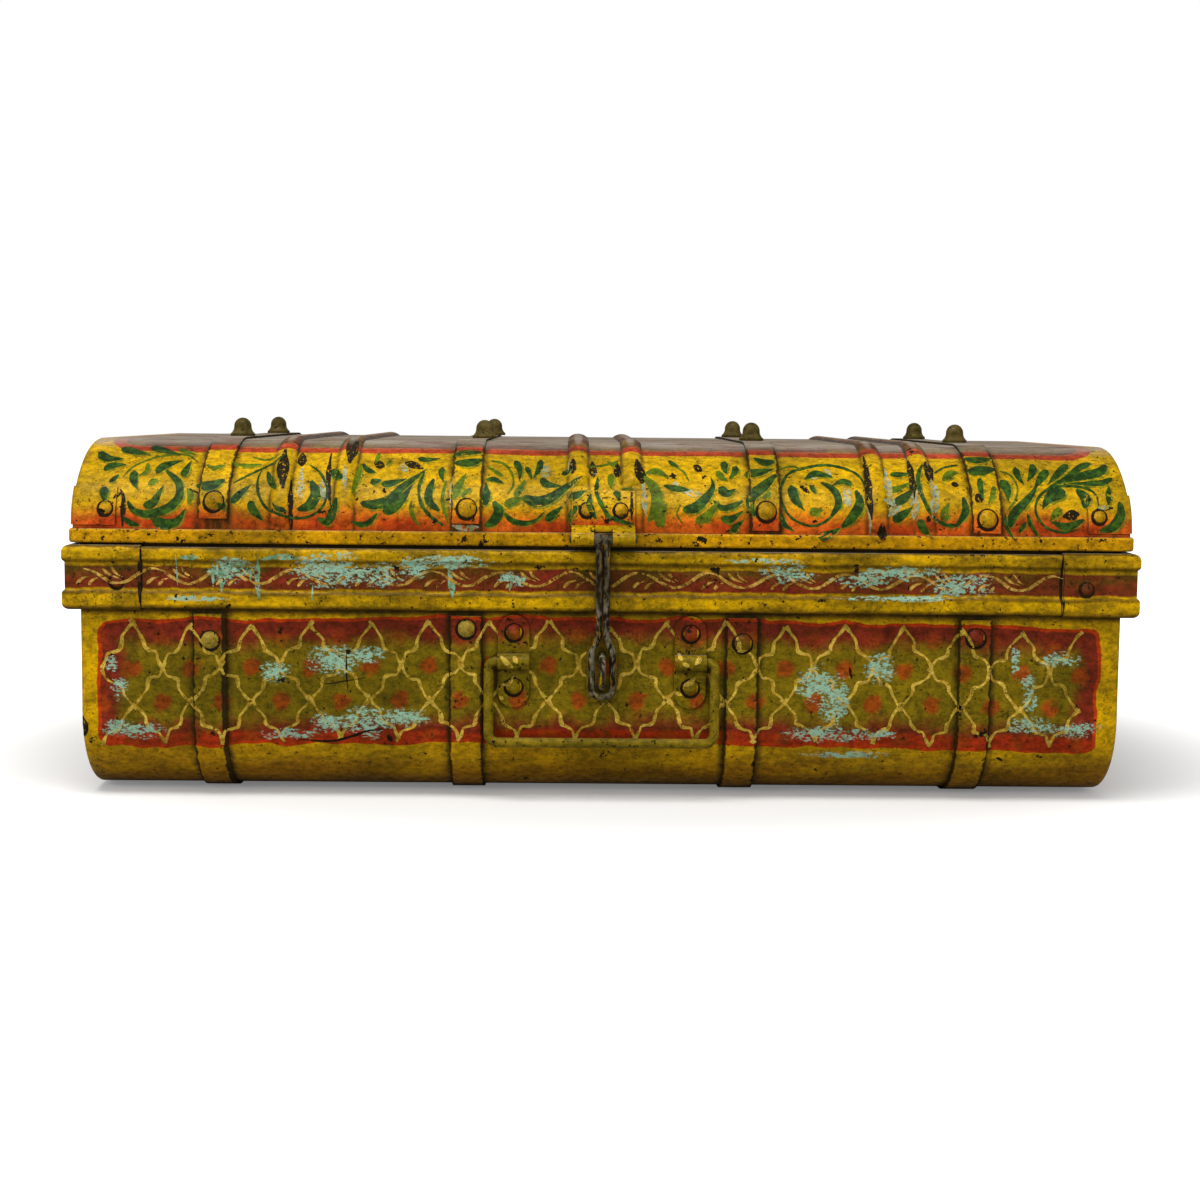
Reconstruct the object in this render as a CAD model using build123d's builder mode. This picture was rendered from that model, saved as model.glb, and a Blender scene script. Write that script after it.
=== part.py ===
from build123d import *
from math import asin, atan2, cos, degrees, radians, sin, tan
import os

# A hand-painted sheet-iron travelling trunk: a shallow tub with a rounded bottom, a folded collar
# round its mouth, a domed lid on two strap hinges, a hasp and staple, and a bail handle in front.
# Millimetres. +Z is up, the front faces -Y, and the origin is on the ground under the middle.

# ---------------------------------------------------------------- driving dimensions
SHEET = 1.2  # iron sheet of the tub, the lid and the collar

# Tub: outside of its walls, and the quarter curve that joins front and back to the bottom.
TUB_W = 742.0
TUB_D = 437.0
TUB_CURVE_RUN = 65.0
TUB_CURVE_RISE = 59.5

# Collar: a folded channel round the mouth, with a rolled bead along its top and its bottom.
COLLAR_FOOT = 137.5
COLLAR_H = 43.5
COLLAR_PROUD = 10.0
BEAD_LOW = 11.0
BEAD_TOP = 8.5
BEAD_PROUD = 1.8
BEAD_ROLL = 3.6
BEAD_CREASE = 1.6
SLEEVE_LAP = 55.0  # how far each end piece laps back over the front and back strips
SLEEVE_RIVET_IN = 38.0  # in from the collar's end
SLEEVE_RIVET_UP = 19.5  # above the collar's foot
LIP_RISE = 8.0  # tub wall standing up inside the lid, above the collar

# Lid: its rim stands a little above the collar and inside the collar's outline.
LID_GAP = 2.6
LID_INSET = 6.0
LID_WALL_H = 11.0
LID_CURVE_RUN = 85.0
LID_CURVE_RISE = 61.5
RIM_H = 10.0
RIM_PROUD = 2.5
RIM_ROLL = 1.9

# End panels: flanged pans that slip under the wrapped sheet.
PAN_EDGE = 4.0
PAN_SIDE = 6.0
PAN_FLANGE = 8.0

# Flutes pressed up through the lid, in three pairs: (share of the half length, start above the lid's foot).
FLUTE_W = 15.5
FLUTE_H = 3.0
FLUTES = ((-0.6093, 20.4), (-0.4893, 21.4), (-0.048, 48.0), (0.0544, 48.0), (0.5184, 19.9), (0.608, 19.9))

# Iron straps, set out by eye along the length: each starts with its share of the half length.
STRAP_T = 2.0
TUB_STRAP_W = 23.5
TUB_STRAP_GAP = 4.0  # from the collar down to the ends of the tub straps
TUB_STRAPS = ((-0.752, 22.5), (-0.2615, 12.8), (0.2695, 21.5), (0.7183, 16.4))  # (share, rivet below the collar)
LID_STRAP_T = 1.6
LID_STRAP_W = 21.5
LID_STRAPS = (  # (share, foot above the lid's foot, rivet above its own foot, stud offset)
    (-0.7347, 17.8, 11.8, 0.0),
    (-0.2587, 15.8, 10.3, 7.0),
    (0.3067, 12.7, 13.3, 0.0),
    (0.7253, 12.2, 9.8, 0.0),
)
CORNER_LEG = 31.0
CORNER_UP = 12.7  # above the lid's foot
CORNER_H = 26.6
CORNER_T = 1.2
CORNER_RIVET_IN = 23.5
CORNER_RIVET_UP = 11.8

# Rivets and studs.
RIVET_R = 6.4
RIVET_H = 3.4
SMALL_RIVET_R = 4.5
SMALL_RIVET_H = 2.4
RIVET_SHANK_R = 2.2
RIVET_TAIL_R = 3.4
RIVET_TAIL_H = 1.2
CURVE_RELIEF = 0.2  # a flat tail inside the curved lid stands this far off it
STUD_R = 9.4
STUD_H = 14.0
STUD_FLANGE_H = 1.8
STUD_FLARE = 0.8  # how far the skirt is hollowed in above its foot
STUD_DOME_R = 6.6
STUD_SPACING = 184.0  # front stud to back stud

# Strap hinges on the back.
HINGE_SHARE = 0.4  # of the lid's half length
HINGE_W = 38.0
HINGE_LEAF_T = 2.0
HINGE_KNUCKLE_R = 5.0
HINGE_PIN_R = 2.5
HINGE_RIVET_X = 11.0
HINGE_UPPER_RIVET_UP = 34.0  # above the hinge's axis
HINGE_LOWER_RIVET_DOWN = 22.0
HINGE_LEAF_DROP = 34.0
HINGE_LEAF_REACH = 46.0
HINGE_Z_RISE = 1.5  # hinge axis above the collar's top
LEAF_RIM_GAP = 2.5
PIN_CLEARANCE = 0.06
KNUCKLE_GAP = 0.4
PIN_HEAD_H = 1.4

# Hasp: a rod folded back on itself, with a long eye that drops over the staple.
HASP_ROD_R = 2.45
HASP_PIN_R = 1.9
HASP_KNUCKLE_R = 4.2
HASP_KNUCKLE_W = 12.6
HASP_LEG_GAP = 0.2
HASP_EYE_W = 9.9
HASP_EYE_H = 31.0
HASP_DROP = 62.5  # hasp below the collar
HASP_BEND = 4.9
HASP_EYE_SET = 4.5  # how far the eye is set back towards the tub
HASP_COLLAR_GAP = 1.2
HASP_PLATE_GAP = 0.9
HASP_PLATE_W = 45.0
HASP_PLATE_T = 1.6
HASP_PLATE_H = 28.7
HASP_RIVET_X = 12.0
HASP_RIVET_UP = 15.0  # above the plate's foot
HASP_RISE = 8.5  # hasp pin above the collar's top
STAPLE_ROD_R = 2.4
STAPLE_REACH = 20.8
STAPLE_H = 26.0
STAPLE_PLATE_W = 22.0
STAPLE_PLATE_H = 46.0
STAPLE_PLATE_T = 1.5
STAPLE_PLATE_CORNER = 3.0
STAPLE_TAIL = 3.0
STAPLE_BEND = 6.0

# Bail handle, hung in two riveted clips.
BAIL_ROD_R = 3.5
BAIL_HALF = 80.5
BAIL_DROP = 58.0
BAIL_CORNER = 7.0
BAIL_SHOULDER = 4.8
BAIL_PIVOT_DROP = 36.0  # pivot below the collar
BAIL_TUCK = 17.0  # length of each end inside its clip
CLIP_INSET = 17.5  # clip's middle in from the side of the bail
CLIP_W = 22.5
CLIP_H = 66.5
CLIP_T = 2.0
CLIP_CLEARANCE = 0.08
CLIP_RIVET_UP = 21.0
CLIP_RIVET_DOWN = 18.0
CLIP_RIVET_R = 5.8
CLIP_RIVET_H = 3.4
BAIL_CLEARANCE = 0.4  # from the faces of the tub straps

# ---------------------------------------------------------------- levels and outlines worked out from these
TUB_BOTTOM = STRAP_T
TUB_SPRING = TUB_BOTTOM + TUB_CURVE_RISE
COLLAR_TOP = COLLAR_FOOT + COLLAR_H
LIP_TOP = COLLAR_TOP + SHEET + LIP_RISE
COLLAR_W = TUB_W + 2 * COLLAR_PROUD
COLLAR_D = TUB_D + 2 * COLLAR_PROUD
LID_W = COLLAR_W - 2 * LID_INSET
LID_D = COLLAR_D - 2 * LID_INSET
RIM_BOTTOM = COLLAR_TOP + LID_GAP
LID_FOOT = RIM_BOTTOM + SHEET
LID_SPRING = RIM_BOTTOM + LID_WALL_H
LID_TOP = LID_SPRING + LID_CURVE_RISE
FLUTE_R = (FLUTE_W**2 / 4 + FLUTE_H**2) / (2 * FLUTE_H)
FLUTE_SINK = FLUTE_R - FLUTE_H
STRIP_FACE = TUB_D / 2 + COLLAR_PROUD - SHEET  # outer face of the collar's front and back strips
OVERCUT = 5.0  # how far a cutting tool runs past what it cuts
HOLE_DEPTH = 12.0  # deeper than any stack of sheet and strap that a rivet goes through
HINGE_Z = COLLAR_TOP + HINGE_Z_RISE
HINGE_Y = STRIP_FACE + HINGE_LEAF_T + HINGE_KNUCKLE_R
HASP_Z = COLLAR_TOP + HASP_RISE
HASP_PIN_Y = -(LID_D / 2 + RIM_PROUD + HASP_PLATE_GAP + HASP_KNUCKLE_R)
STAPLE_LEG_RISE = STAPLE_H / 2 - STAPLE_ROD_R
HASP_BOTTOM = COLLAR_FOOT - HASP_DROP
STAPLE_Z = HASP_BOTTOM + 2 * HASP_ROD_R + HASP_EYE_H / 2
STUD_GRIP = LID_STRAP_T + SHEET
TUB_STRAP_TOP = COLLAR_FOOT - TUB_STRAP_GAP
TUB_STRAP_X = [share * TUB_W / 2 for share, _ in TUB_STRAPS]
LID_STRAP_X = [share * LID_W / 2 for share, _, _, _ in LID_STRAPS]
SLEEVE_RIVET_X = COLLAR_W / 2 - SLEEVE_RIVET_IN
SLEEVE_RIVET_Z = COLLAR_FOOT + SLEEVE_RIVET_UP
CORNER_LOW = RIM_BOTTOM + CORNER_UP
CORNER_RIVET_X = LID_W / 2 - CORNER_RIVET_IN
CORNER_RIVET_Z = CORNER_LOW + CORNER_RIVET_UP
HINGE_X = HINGE_SHARE * LID_W / 2
PLATE_FOOT = RIM_BOTTOM + RIM_H + HASP_PLATE_GAP
BAIL_PIVOT_Z = COLLAR_FOOT - BAIL_PIVOT_DROP
BAIL_STAND = STRAP_T + BAIL_CLEARANCE + BAIL_ROD_R  # bail's axis off the tub wall
CLIP_X = BAIL_HALF - CLIP_INSET


def two_centres(run, rise):
    """Radii and first turn of the two arcs that stand in for a quarter ellipse, `run` deep and `rise` tall."""
    tight = rise**2 / run
    flat = ((run - tight) ** 2 + rise**2 - tight**2) / (2 * (rise - tight))
    turn = degrees(atan2(abs(flat - rise), abs(run - tight)))
    return tight, flat, turn


TUB_ARCS = two_centres(TUB_CURVE_RUN, TUB_CURVE_RISE)
LID_ARCS = two_centres(LID_CURVE_RUN, LID_CURVE_RISE)


def wrap_outline(plane, depth, spring, arcs, mouth, way, skin):
    """Cross-section of a wrapped sheet, front to back: closed at the top (way 1) or the bottom (way -1).

    `skin` moves the outline outwards, so the same arcs give the sheet's inside, straps and leaves.
    """
    tight, flat, turn = arcs
    half = depth / 2 + skin
    with BuildSketch(plane) as outline:
        with BuildLine():
            wall = Line((-half, mouth), (-half, spring))
            haunch = JernArc(wall @ 1, wall % 1, tight + skin, -way * turn)
            shoulder = JernArc(haunch @ 1, haunch % 1, flat + skin, -way * (90 - turn))
            Line(shoulder @ 1, (0, (shoulder @ 1).Y))
            mirror(about=Plane.YZ)
            Line((-half, mouth), (half, mouth))
        make_face()
    return outline.sketch


def tub_outline(x, skin, mouth=LIP_TOP):
    return wrap_outline(Plane.YZ.offset(x), TUB_D, TUB_SPRING, TUB_ARCS, mouth, -1, skin)


def lid_outline(x, skin, mouth=LID_FOOT):
    return wrap_outline(Plane.YZ.offset(x), LID_D, LID_SPRING, LID_ARCS, mouth, 1, skin)


def lid_arc(height):
    """Centre (in from the lid's face, and height), radius and climb in degrees of the skin at a height."""
    tight, flat, turn = LID_ARCS
    climb = degrees(asin(max(0.0, (height - LID_SPRING) / tight)))
    if climb <= turn:
        return tight, LID_SPRING, tight, climb
    centre_z = LID_TOP - flat
    return LID_CURVE_RUN, centre_z, flat, degrees(asin((height - centre_z) / flat))


def lid_skin(across, height, out, side=-1):
    """Plane on the lid's front (side -1) or back (side 1), `out` above the sheet, facing outwards."""
    inset, centre_z, radius, climb = lid_arc(height)
    run = cos(radians(climb))
    rise = sin(radians(climb))
    depth = LID_D / 2 - inset + (radius + out) * run
    return Plane(
        origin=(across, side * depth, centre_z + (radius + out) * rise),
        x_dir=(1, 0, 0),
        z_dir=(0, side * run, rise),
    )


def wall_seat(across, height, out, side=-1):
    """Plane on the tub's front (side -1) or back (side 1) wall, `out` from the sheet, facing outwards."""
    return Plane(origin=(across, side * (TUB_D / 2 + out), height), x_dir=(1, 0, 0), z_dir=(0, side, 0))


def end_seat(depth, height, face, side):
    """Plane on an end of the trunk, `face` from the middle, facing outwards."""
    return Plane(origin=(side * face, depth, height), x_dir=(0, 1, 0), z_dir=(side, 0, 0))


def make_rivet(head_r, head_h, grip):
    """Domed head on a shank that runs through `grip` of iron to a clenched tail. The head sits on z = 0."""
    with BuildPart() as rivet:
        with BuildSketch(Plane.XZ):
            with BuildLine():
                TangentArc((0, head_h), (head_r, 0), tangent=(1, 0))
                Polyline(
                    (head_r, 0),
                    (RIVET_SHANK_R, 0),
                    (RIVET_SHANK_R, -grip),
                    (RIVET_TAIL_R, -grip),
                    (RIVET_TAIL_R, -grip - RIVET_TAIL_H),
                    (0, -grip - RIVET_TAIL_H),
                    (0, head_h),
                )
            make_face()
        revolve(axis=Axis.Z)
    return rivet.part


def drill(seats, radius):
    """Cut a round hole at each seat, in the sub-part being built."""
    for seat in seats:
        with BuildSketch(seat) as hole:
            Circle(radius)
        extrude(hole.sketch, amount=HOLE_DEPTH, both=True, mode=Mode.SUBTRACT)


def staple_leg_seats():
    """Planes where the staple's two legs go through the tub's front wall."""
    return [wall_seat(0, STAPLE_Z + leg * STAPLE_LEG_RISE, 0) for leg in (-1, 1)]


def save(piece, name):
    piece.part.label = name
    export_step(piece.part, f"parts/{name}.step")


def rivet_set(name, seats, rivet):
    """Identical fasteners, one at each seat, kept together in one node."""
    with BuildPart() as fasteners:
        with Locations(*seats):
            add(rivet)
    save(fasteners, name)


os.makedirs("parts", exist_ok=True)


# ---------------------------------------------------------------- where the fasteners sit
tub_strap_seats = [
    wall_seat(x, COLLAR_FOOT - drop, STRAP_T, side)
    for side in (-1, 1)
    for x, (_, drop) in zip(TUB_STRAP_X, TUB_STRAPS)
]
lid_strap_seats = [
    lid_skin(x, RIM_BOTTOM + foot + rivet, LID_STRAP_T, side)
    for side in (-1, 1)
    for x, (_, foot, rivet, _) in zip(LID_STRAP_X, LID_STRAPS)
]
stud_seats = [
    Plane(origin=(x + slip, side * STUD_SPACING / 2, LID_TOP + LID_STRAP_T))
    for side in (-1, 1)
    for x, (_, _, _, slip) in zip(LID_STRAP_X, LID_STRAPS)
]
sleeve_seats = [
    wall_seat(end * SLEEVE_RIVET_X, SLEEVE_RIVET_Z, COLLAR_PROUD - BEAD_PROUD, side)
    for side in (-1, 1)
    for end in (-1, 1)
]
clip_seats = [
    wall_seat(end * CLIP_X, BAIL_PIVOT_Z + rise, CLIP_T)
    for end in (-1, 1)
    for rise in (-CLIP_RIVET_DOWN, CLIP_RIVET_UP)
]
corner_front_seats = [
    lid_skin(end * CORNER_RIVET_X, CORNER_RIVET_Z, CORNER_T, side) for side in (-1, 1) for end in (-1, 1)
]
corner_end_seats = [
    end_seat(side * (CORNER_RIVET_X - (LID_W - LID_D) / 2), CORNER_RIVET_Z, LID_W / 2 + CORNER_T, end)
    for side in (-1, 1)
    for end in (-1, 1)
]
hasp_plate_seats = [lid_skin(end * HASP_RIVET_X, PLATE_FOOT + HASP_RIVET_UP, HASP_PLATE_T) for end in (-1, 1)]
leaf_upper_seats = [
    lid_skin(end * HINGE_X + along * HINGE_RIVET_X, HINGE_Z + HINGE_UPPER_RIVET_UP, HINGE_LEAF_T, 1)
    for end in (-1, 1)
    for along in (-1, 1)
]
leaf_lower_seats = [
    Plane(
        origin=(end * HINGE_X + along * HINGE_RIVET_X, STRIP_FACE + HINGE_LEAF_T, HINGE_Z - HINGE_LOWER_RIVET_DOWN),
        x_dir=(1, 0, 0),
        z_dir=(0, 1, 0),
    )
    for end in (-1, 1)
    for along in (-1, 1)
]
lid_wrap_seats = lid_strap_seats + hasp_plate_seats + leaf_upper_seats

# ---------------------------------------------------------------- tub
# One sheet is wrapped from the front, under the bottom and up the back.
tub_wrap_half = TUB_W / 2 - PAN_SIDE
with BuildPart() as tub_wrap:
    extrude(tub_outline(0, 0), amount=tub_wrap_half, both=True)
    extrude(tub_outline(0, -SHEET, LIP_TOP + OVERCUT), amount=tub_wrap_half + OVERCUT, both=True, mode=Mode.SUBTRACT)
    drill(tub_strap_seats + clip_seats, RIVET_SHANK_R)
    drill(staple_leg_seats(), STAPLE_ROD_R)
save(tub_wrap, "tub_wrap")


def end_pan(outline, half_width, mouth_end):
    """Flanged end panel on the +X end: a rounded rim flush with the wrap, and a flange that slips under it.

    `outline` draws the section at a place, a skin and a mouth height. `mouth_end` is 1 where the mouth is
    the section's top and -1 where it is its bottom.
    """
    start = half_width - PAN_SIDE
    mouth_z = LIP_TOP if mouth_end > 0 else LID_FOOT
    with BuildPart() as pan:
        extrude(outline(start, 0, mouth_z), amount=PAN_SIDE)
        rim = pan.faces().sort_by(Axis.X)[-1].edges()
        fillet([edge for edge in rim if abs(edge.center().Z - mouth_z) > SHEET], radius=PAN_EDGE)
        extrude(outline(start - PAN_FLANGE, -SHEET, mouth_z), amount=PAN_FLANGE)
        hollow = outline(start - PAN_FLANGE, -2 * SHEET, mouth_z + mouth_end * OVERCUT)
        extrude(hollow, amount=PAN_FLANGE + PAN_SIDE - SHEET, mode=Mode.SUBTRACT)
    return pan.part


def both_ends(part, name):
    """Save a sub-part made for the +X end, and its mirror image for the other end."""
    with BuildPart() as right:
        add(part)
    save(right, f"{name}_right")
    with BuildPart() as left:
        mirror(part, about=Plane.YZ)
    save(left, f"{name}_left")


both_ends(end_pan(tub_outline, TUB_W / 2, 1), "tub_end")

# Four iron straps go down the front, under the bottom and up the back. The trunk stands on them.
for number, x in enumerate(TUB_STRAP_X, start=1):
    with BuildPart() as tub_strap:
        extrude(tub_outline(x, STRAP_T, TUB_STRAP_TOP), amount=TUB_STRAP_W / 2, both=True)
        extrude(tub_outline(x, 0, LIP_TOP), amount=TUB_STRAP_W, both=True, mode=Mode.SUBTRACT)
        drill([seat for seat in tub_strap_seats if abs(seat.origin.X - x) < RIVET_SHANK_R], RIVET_SHANK_R)
    save(tub_strap, f"tub_strap_{number}")

rivet_set("tub_strap_rivets", tub_strap_seats, make_rivet(RIVET_R, RIVET_H, STRAP_T + SHEET))


# ---------------------------------------------------------------- collar
def channel_outline(plane, skin):
    """Section of the folded collar, out from the tub wall: two rolled beads with a shallow field between.

    `skin` moves the section off the outside of the strip: in to its own inside, or out to that of a sleeve.
    """
    face = COLLAR_PROUD - SHEET + skin
    field = face - BEAD_PROUD
    foot = COLLAR_FOOT - skin
    top = COLLAR_TOP + skin
    low = COLLAR_FOOT + BEAD_LOW + skin * tan(radians(22.5))
    high = COLLAR_TOP - BEAD_TOP - skin * tan(radians(22.5))
    roll = BEAD_ROLL + skin
    ridge = BEAD_CREASE + skin
    valley = BEAD_CREASE - skin
    heel = -OVERCUT if skin < 0 else 0
    with BuildSketch(plane) as outline:
        with BuildLine():
            FilletPolyline(
                (heel, foot),
                (face, foot),
                (face, low),
                (field, low + BEAD_PROUD),
                (field, high - BEAD_PROUD),
                (face, high),
                (face, top),
                (heel, top),
                radius=(roll, ridge, valley, valley, ridge, roll),
            )
            Line((heel, top), (heel, foot))
        make_face()
    return outline.sketch


def strip_plane(x, side):
    """Plane across the collar's front (side -1) or back (side 1) at x. Its first axis points away from the tub."""
    return Plane(origin=(x, side * TUB_D / 2, 0), x_dir=(0, side, 0), z_dir=(side, 0, 0))


def collar_strip(side, seats):
    """Folded channel along the front or the back of the tub."""
    with BuildPart() as strip:
        extrude(channel_outline(strip_plane(0, side), 0), amount=TUB_W / 2, both=True)
        hollow = channel_outline(strip_plane(0, side), -SHEET)
        extrude(hollow, amount=TUB_W / 2 + OVERCUT, both=True, mode=Mode.SUBTRACT)
        drill(seats, RIVET_SHANK_R)
    return strip


save(collar_strip(-1, sleeve_seats), "collar_front")
save(collar_strip(1, sleeve_seats + leaf_lower_seats), "collar_back")

# Each end piece wraps the end of the tub and laps back over the front and back strips.
lap_x = COLLAR_W / 2 - SLEEVE_LAP
with BuildPart() as sleeve:
    for skin, fit in ((SHEET, Mode.ADD), (0, Mode.SUBTRACT)):
        with BuildLine() as route:
            Polyline((lap_x, -TUB_D / 2), (TUB_W / 2, -TUB_D / 2), (TUB_W / 2, TUB_D / 2), (lap_x, TUB_D / 2))
        section = channel_outline(strip_plane(lap_x, -1), skin)
        sweep(section, path=route.line, transition=Transition.RIGHT, mode=fit)
    drill(sleeve_seats, RIVET_SHANK_R)
both_ends(sleeve.part, "collar_end")

rivet_set("collar_rivets", sleeve_seats, make_rivet(SMALL_RIVET_R, SMALL_RIVET_H, 2 * SHEET))

# ---------------------------------------------------------------- lid
# The lid is one sheet wrapped front to back, with flutes pressed up through it from inside.
def flute_body(x, start_z, radius):
    """Round bar bent to the lid's section. The part of it that stands above the sheet is the flute."""
    tight, flat, turn = LID_ARCS
    climb = lid_arc(start_z)[3]
    onto_flat = max(climb, turn)
    with BuildPart() as bar:
        with BuildLine(Plane.YZ.offset(x)) as route:
            for side in (-1, 1):
                haunch = (side * (LID_D / 2 - tight), LID_SPRING)
                shoulder = (side * (LID_D / 2 - LID_CURVE_RUN), LID_TOP - flat)
                if climb < turn:
                    CenterArc(haunch, tight - FLUTE_SINK, 90 - side * (90 - climb), side * (turn - climb))
                CenterArc(shoulder, flat - FLUTE_SINK, 90 - side * (90 - onto_flat), side * (90 - onto_flat))
            Line((LID_CURVE_RUN - LID_D / 2, LID_TOP - FLUTE_SINK), (LID_D / 2 - LID_CURVE_RUN, LID_TOP - FLUTE_SINK))
        feet = [lid_skin(x, start_z, -FLUTE_SINK, side) for side in (-1, 1)]
        with BuildSketch(Plane(origin=feet[0].origin, z_dir=feet[0].z_dir.rotate(Axis.X, -90))):
            Circle(radius)
        sweep(path=route.line)
        with Locations(*[foot.origin for foot in feet]):
            Sphere(radius)
    return bar.part


flutes_out = [flute_body(share * LID_W / 2, RIM_BOTTOM + up, FLUTE_R) for share, up in FLUTES]
flutes_in = [flute_body(share * LID_W / 2, RIM_BOTTOM + up, FLUTE_R - SHEET) for share, up in FLUTES]
lid_wrap_half = LID_W / 2 - PAN_SIDE
with BuildPart() as lid_wrap:
    extrude(lid_outline(0, 0), amount=lid_wrap_half, both=True)
    add(flutes_out)
    split(bisect_by=Plane.XY.offset(LID_FOOT), keep=Keep.TOP)
    extrude(lid_outline(0, -SHEET, LID_FOOT - OVERCUT), amount=lid_wrap_half + OVERCUT, both=True, mode=Mode.SUBTRACT)
    add(flutes_in, mode=Mode.SUBTRACT)
    drill(lid_wrap_seats + stud_seats + corner_front_seats, RIVET_SHANK_R)
save(lid_wrap, "lid_wrap")

lid_pan = end_pan(lid_outline, LID_W / 2, -1)
with BuildPart() as lid_end:
    add(lid_pan)
    drill(corner_front_seats + corner_end_seats, RIVET_SHANK_R)
both_ends(lid_end.part, "lid_end")


def rounded_plan(grow, level):
    """The lid's plan, grown outwards by `grow`, at a level."""
    with BuildSketch(Plane.XY.offset(level)) as plan:
        RectangleRounded(LID_W + 2 * grow, LID_D + 2 * grow, PAN_EDGE + grow)
    return plan.sketch


# Rim: an edge band round the mouth of the lid, with the sheet's edge standing in it.
with BuildPart() as lid_rim:
    extrude(rounded_plan(RIM_PROUD, RIM_BOTTOM), amount=RIM_H)
    outer = lid_rim.faces().sort_by(Axis.Z)
    fillet(outer[-1].edges() + outer[0].edges(), radius=RIM_ROLL)
    extrude(rounded_plan(0, LID_FOOT), amount=RIM_H, mode=Mode.SUBTRACT)
    extrude(rounded_plan(-2 * SHEET, RIM_BOTTOM - OVERCUT), amount=RIM_H, mode=Mode.SUBTRACT)
save(lid_rim, "lid_rim")

# Lid straps run over the top from just above the front rim to just above the back rim.
for number, (x, (_, foot, _, _)) in enumerate(zip(LID_STRAP_X, LID_STRAPS), start=1):
    with BuildPart() as lid_strap:
        extrude(lid_outline(x, LID_STRAP_T), amount=LID_STRAP_W / 2, both=True)
        extrude(lid_outline(x, 0, LID_FOOT - OVERCUT), amount=LID_STRAP_W, both=True, mode=Mode.SUBTRACT)
        split(bisect_by=Plane.XY.offset(RIM_BOTTOM + foot), keep=Keep.TOP)
        near = [seat for seat in lid_strap_seats + stud_seats if abs(seat.origin.X - x) < LID_STRAP_W / 2]
        drill(near, RIVET_SHANK_R)
    save(lid_strap, f"lid_strap_{number}")
rivet_set("lid_strap_rivets", lid_strap_seats, make_rivet(RIVET_R, RIVET_H, LID_STRAP_T + SHEET + CURVE_RELIEF))

# Studs: thimble-shaped bosses riveted through the straps, two to a strap.
with BuildPart() as stud:
    with BuildSketch(Plane.XZ):
        with BuildLine():
            crown_r = STUD_DOME_R
            crown_foot = STUD_H - crown_r
            RadiusArc((0, STUD_H), (crown_r, crown_foot), crown_r)
            SagittaArc((crown_r, crown_foot), (STUD_R, STUD_FLANGE_H), -STUD_FLARE)
            Polyline(
                (STUD_R, STUD_FLANGE_H),
                (STUD_R, 0),
                (RIVET_SHANK_R, 0),
                (RIVET_SHANK_R, -STUD_GRIP),
                (RIVET_TAIL_R, -STUD_GRIP),
                (RIVET_TAIL_R, -STUD_GRIP - RIVET_TAIL_H),
                (0, -STUD_GRIP - RIVET_TAIL_H),
                (0, STUD_H),
            )
        make_face()
    revolve(axis=Axis.Z)
rivet_set("lid_studs", stud_seats, stud.part)

# Corner plates fold round the four upright corners of the lid.
with BuildPart() as corner_shell:
    extrude(lid_outline(0, CORNER_T, LID_FOOT), amount=LID_W / 2 + CORNER_T)
    fillet(corner_shell.faces().sort_by(Axis.X)[-1].edges().sort_by(Axis.Z)[1:], radius=PAN_EDGE + CORNER_T)
    with BuildSketch(Plane.XY.offset(CORNER_LOW)):
        with Locations((LID_W / 2 + CORNER_T, -LID_D / 2 - CORNER_T)):
            Rectangle(2 * (CORNER_LEG + CORNER_T), 2 * (CORNER_LEG + CORNER_T))
    extrude(amount=CORNER_H, mode=Mode.INTERSECT)
with BuildPart() as lid_solid:
    extrude(lid_outline(0, 0, LID_FOOT), amount=LID_W / 2)
    fillet(lid_solid.faces().sort_by(Axis.X)[-1].edges().sort_by(Axis.Z)[1:], radius=PAN_EDGE)
with BuildPart() as corner_plate:
    add(corner_shell.part)
    add(lid_solid.part, mode=Mode.SUBTRACT)
    drill(corner_front_seats + corner_end_seats, RIVET_SHANK_R)
both_ends(corner_plate.part, "lid_corner_front")
both_ends(mirror(corner_plate.part, about=Plane.XZ), "lid_corner_back")
rivet_set(
    "lid_corner_rivets",
    corner_front_seats + corner_end_seats,
    make_rivet(SMALL_RIVET_R, SMALL_RIVET_H, CORNER_T + 2 * SHEET + CURVE_RELIEF),
)

# ---------------------------------------------------------------- hinges
def slab(points, x, width):
    """Flat-sided piece: a closed outline in the YZ plane, `width` wide and centred on x."""
    with BuildSketch(Plane.YZ.offset(x)) as outline:
        with BuildLine():
            Polyline(*points, close=True)
        make_face()
    extrude(outline.sketch, amount=width / 2, both=True)


def knuckle(x, width, centre, radius):
    with BuildSketch(Plane.YZ.offset(x)) as ring:
        with Locations(centre):
            Circle(radius)
    extrude(ring.sketch, amount=width / 2, both=True)


def bore(x, width, centre, radius):
    with BuildSketch(Plane.YZ.offset(x)) as ring:
        with Locations(centre):
            Circle(radius)
    extrude(ring.sketch, amount=width / 2 + OVERCUT, both=True, mode=Mode.SUBTRACT)


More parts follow.
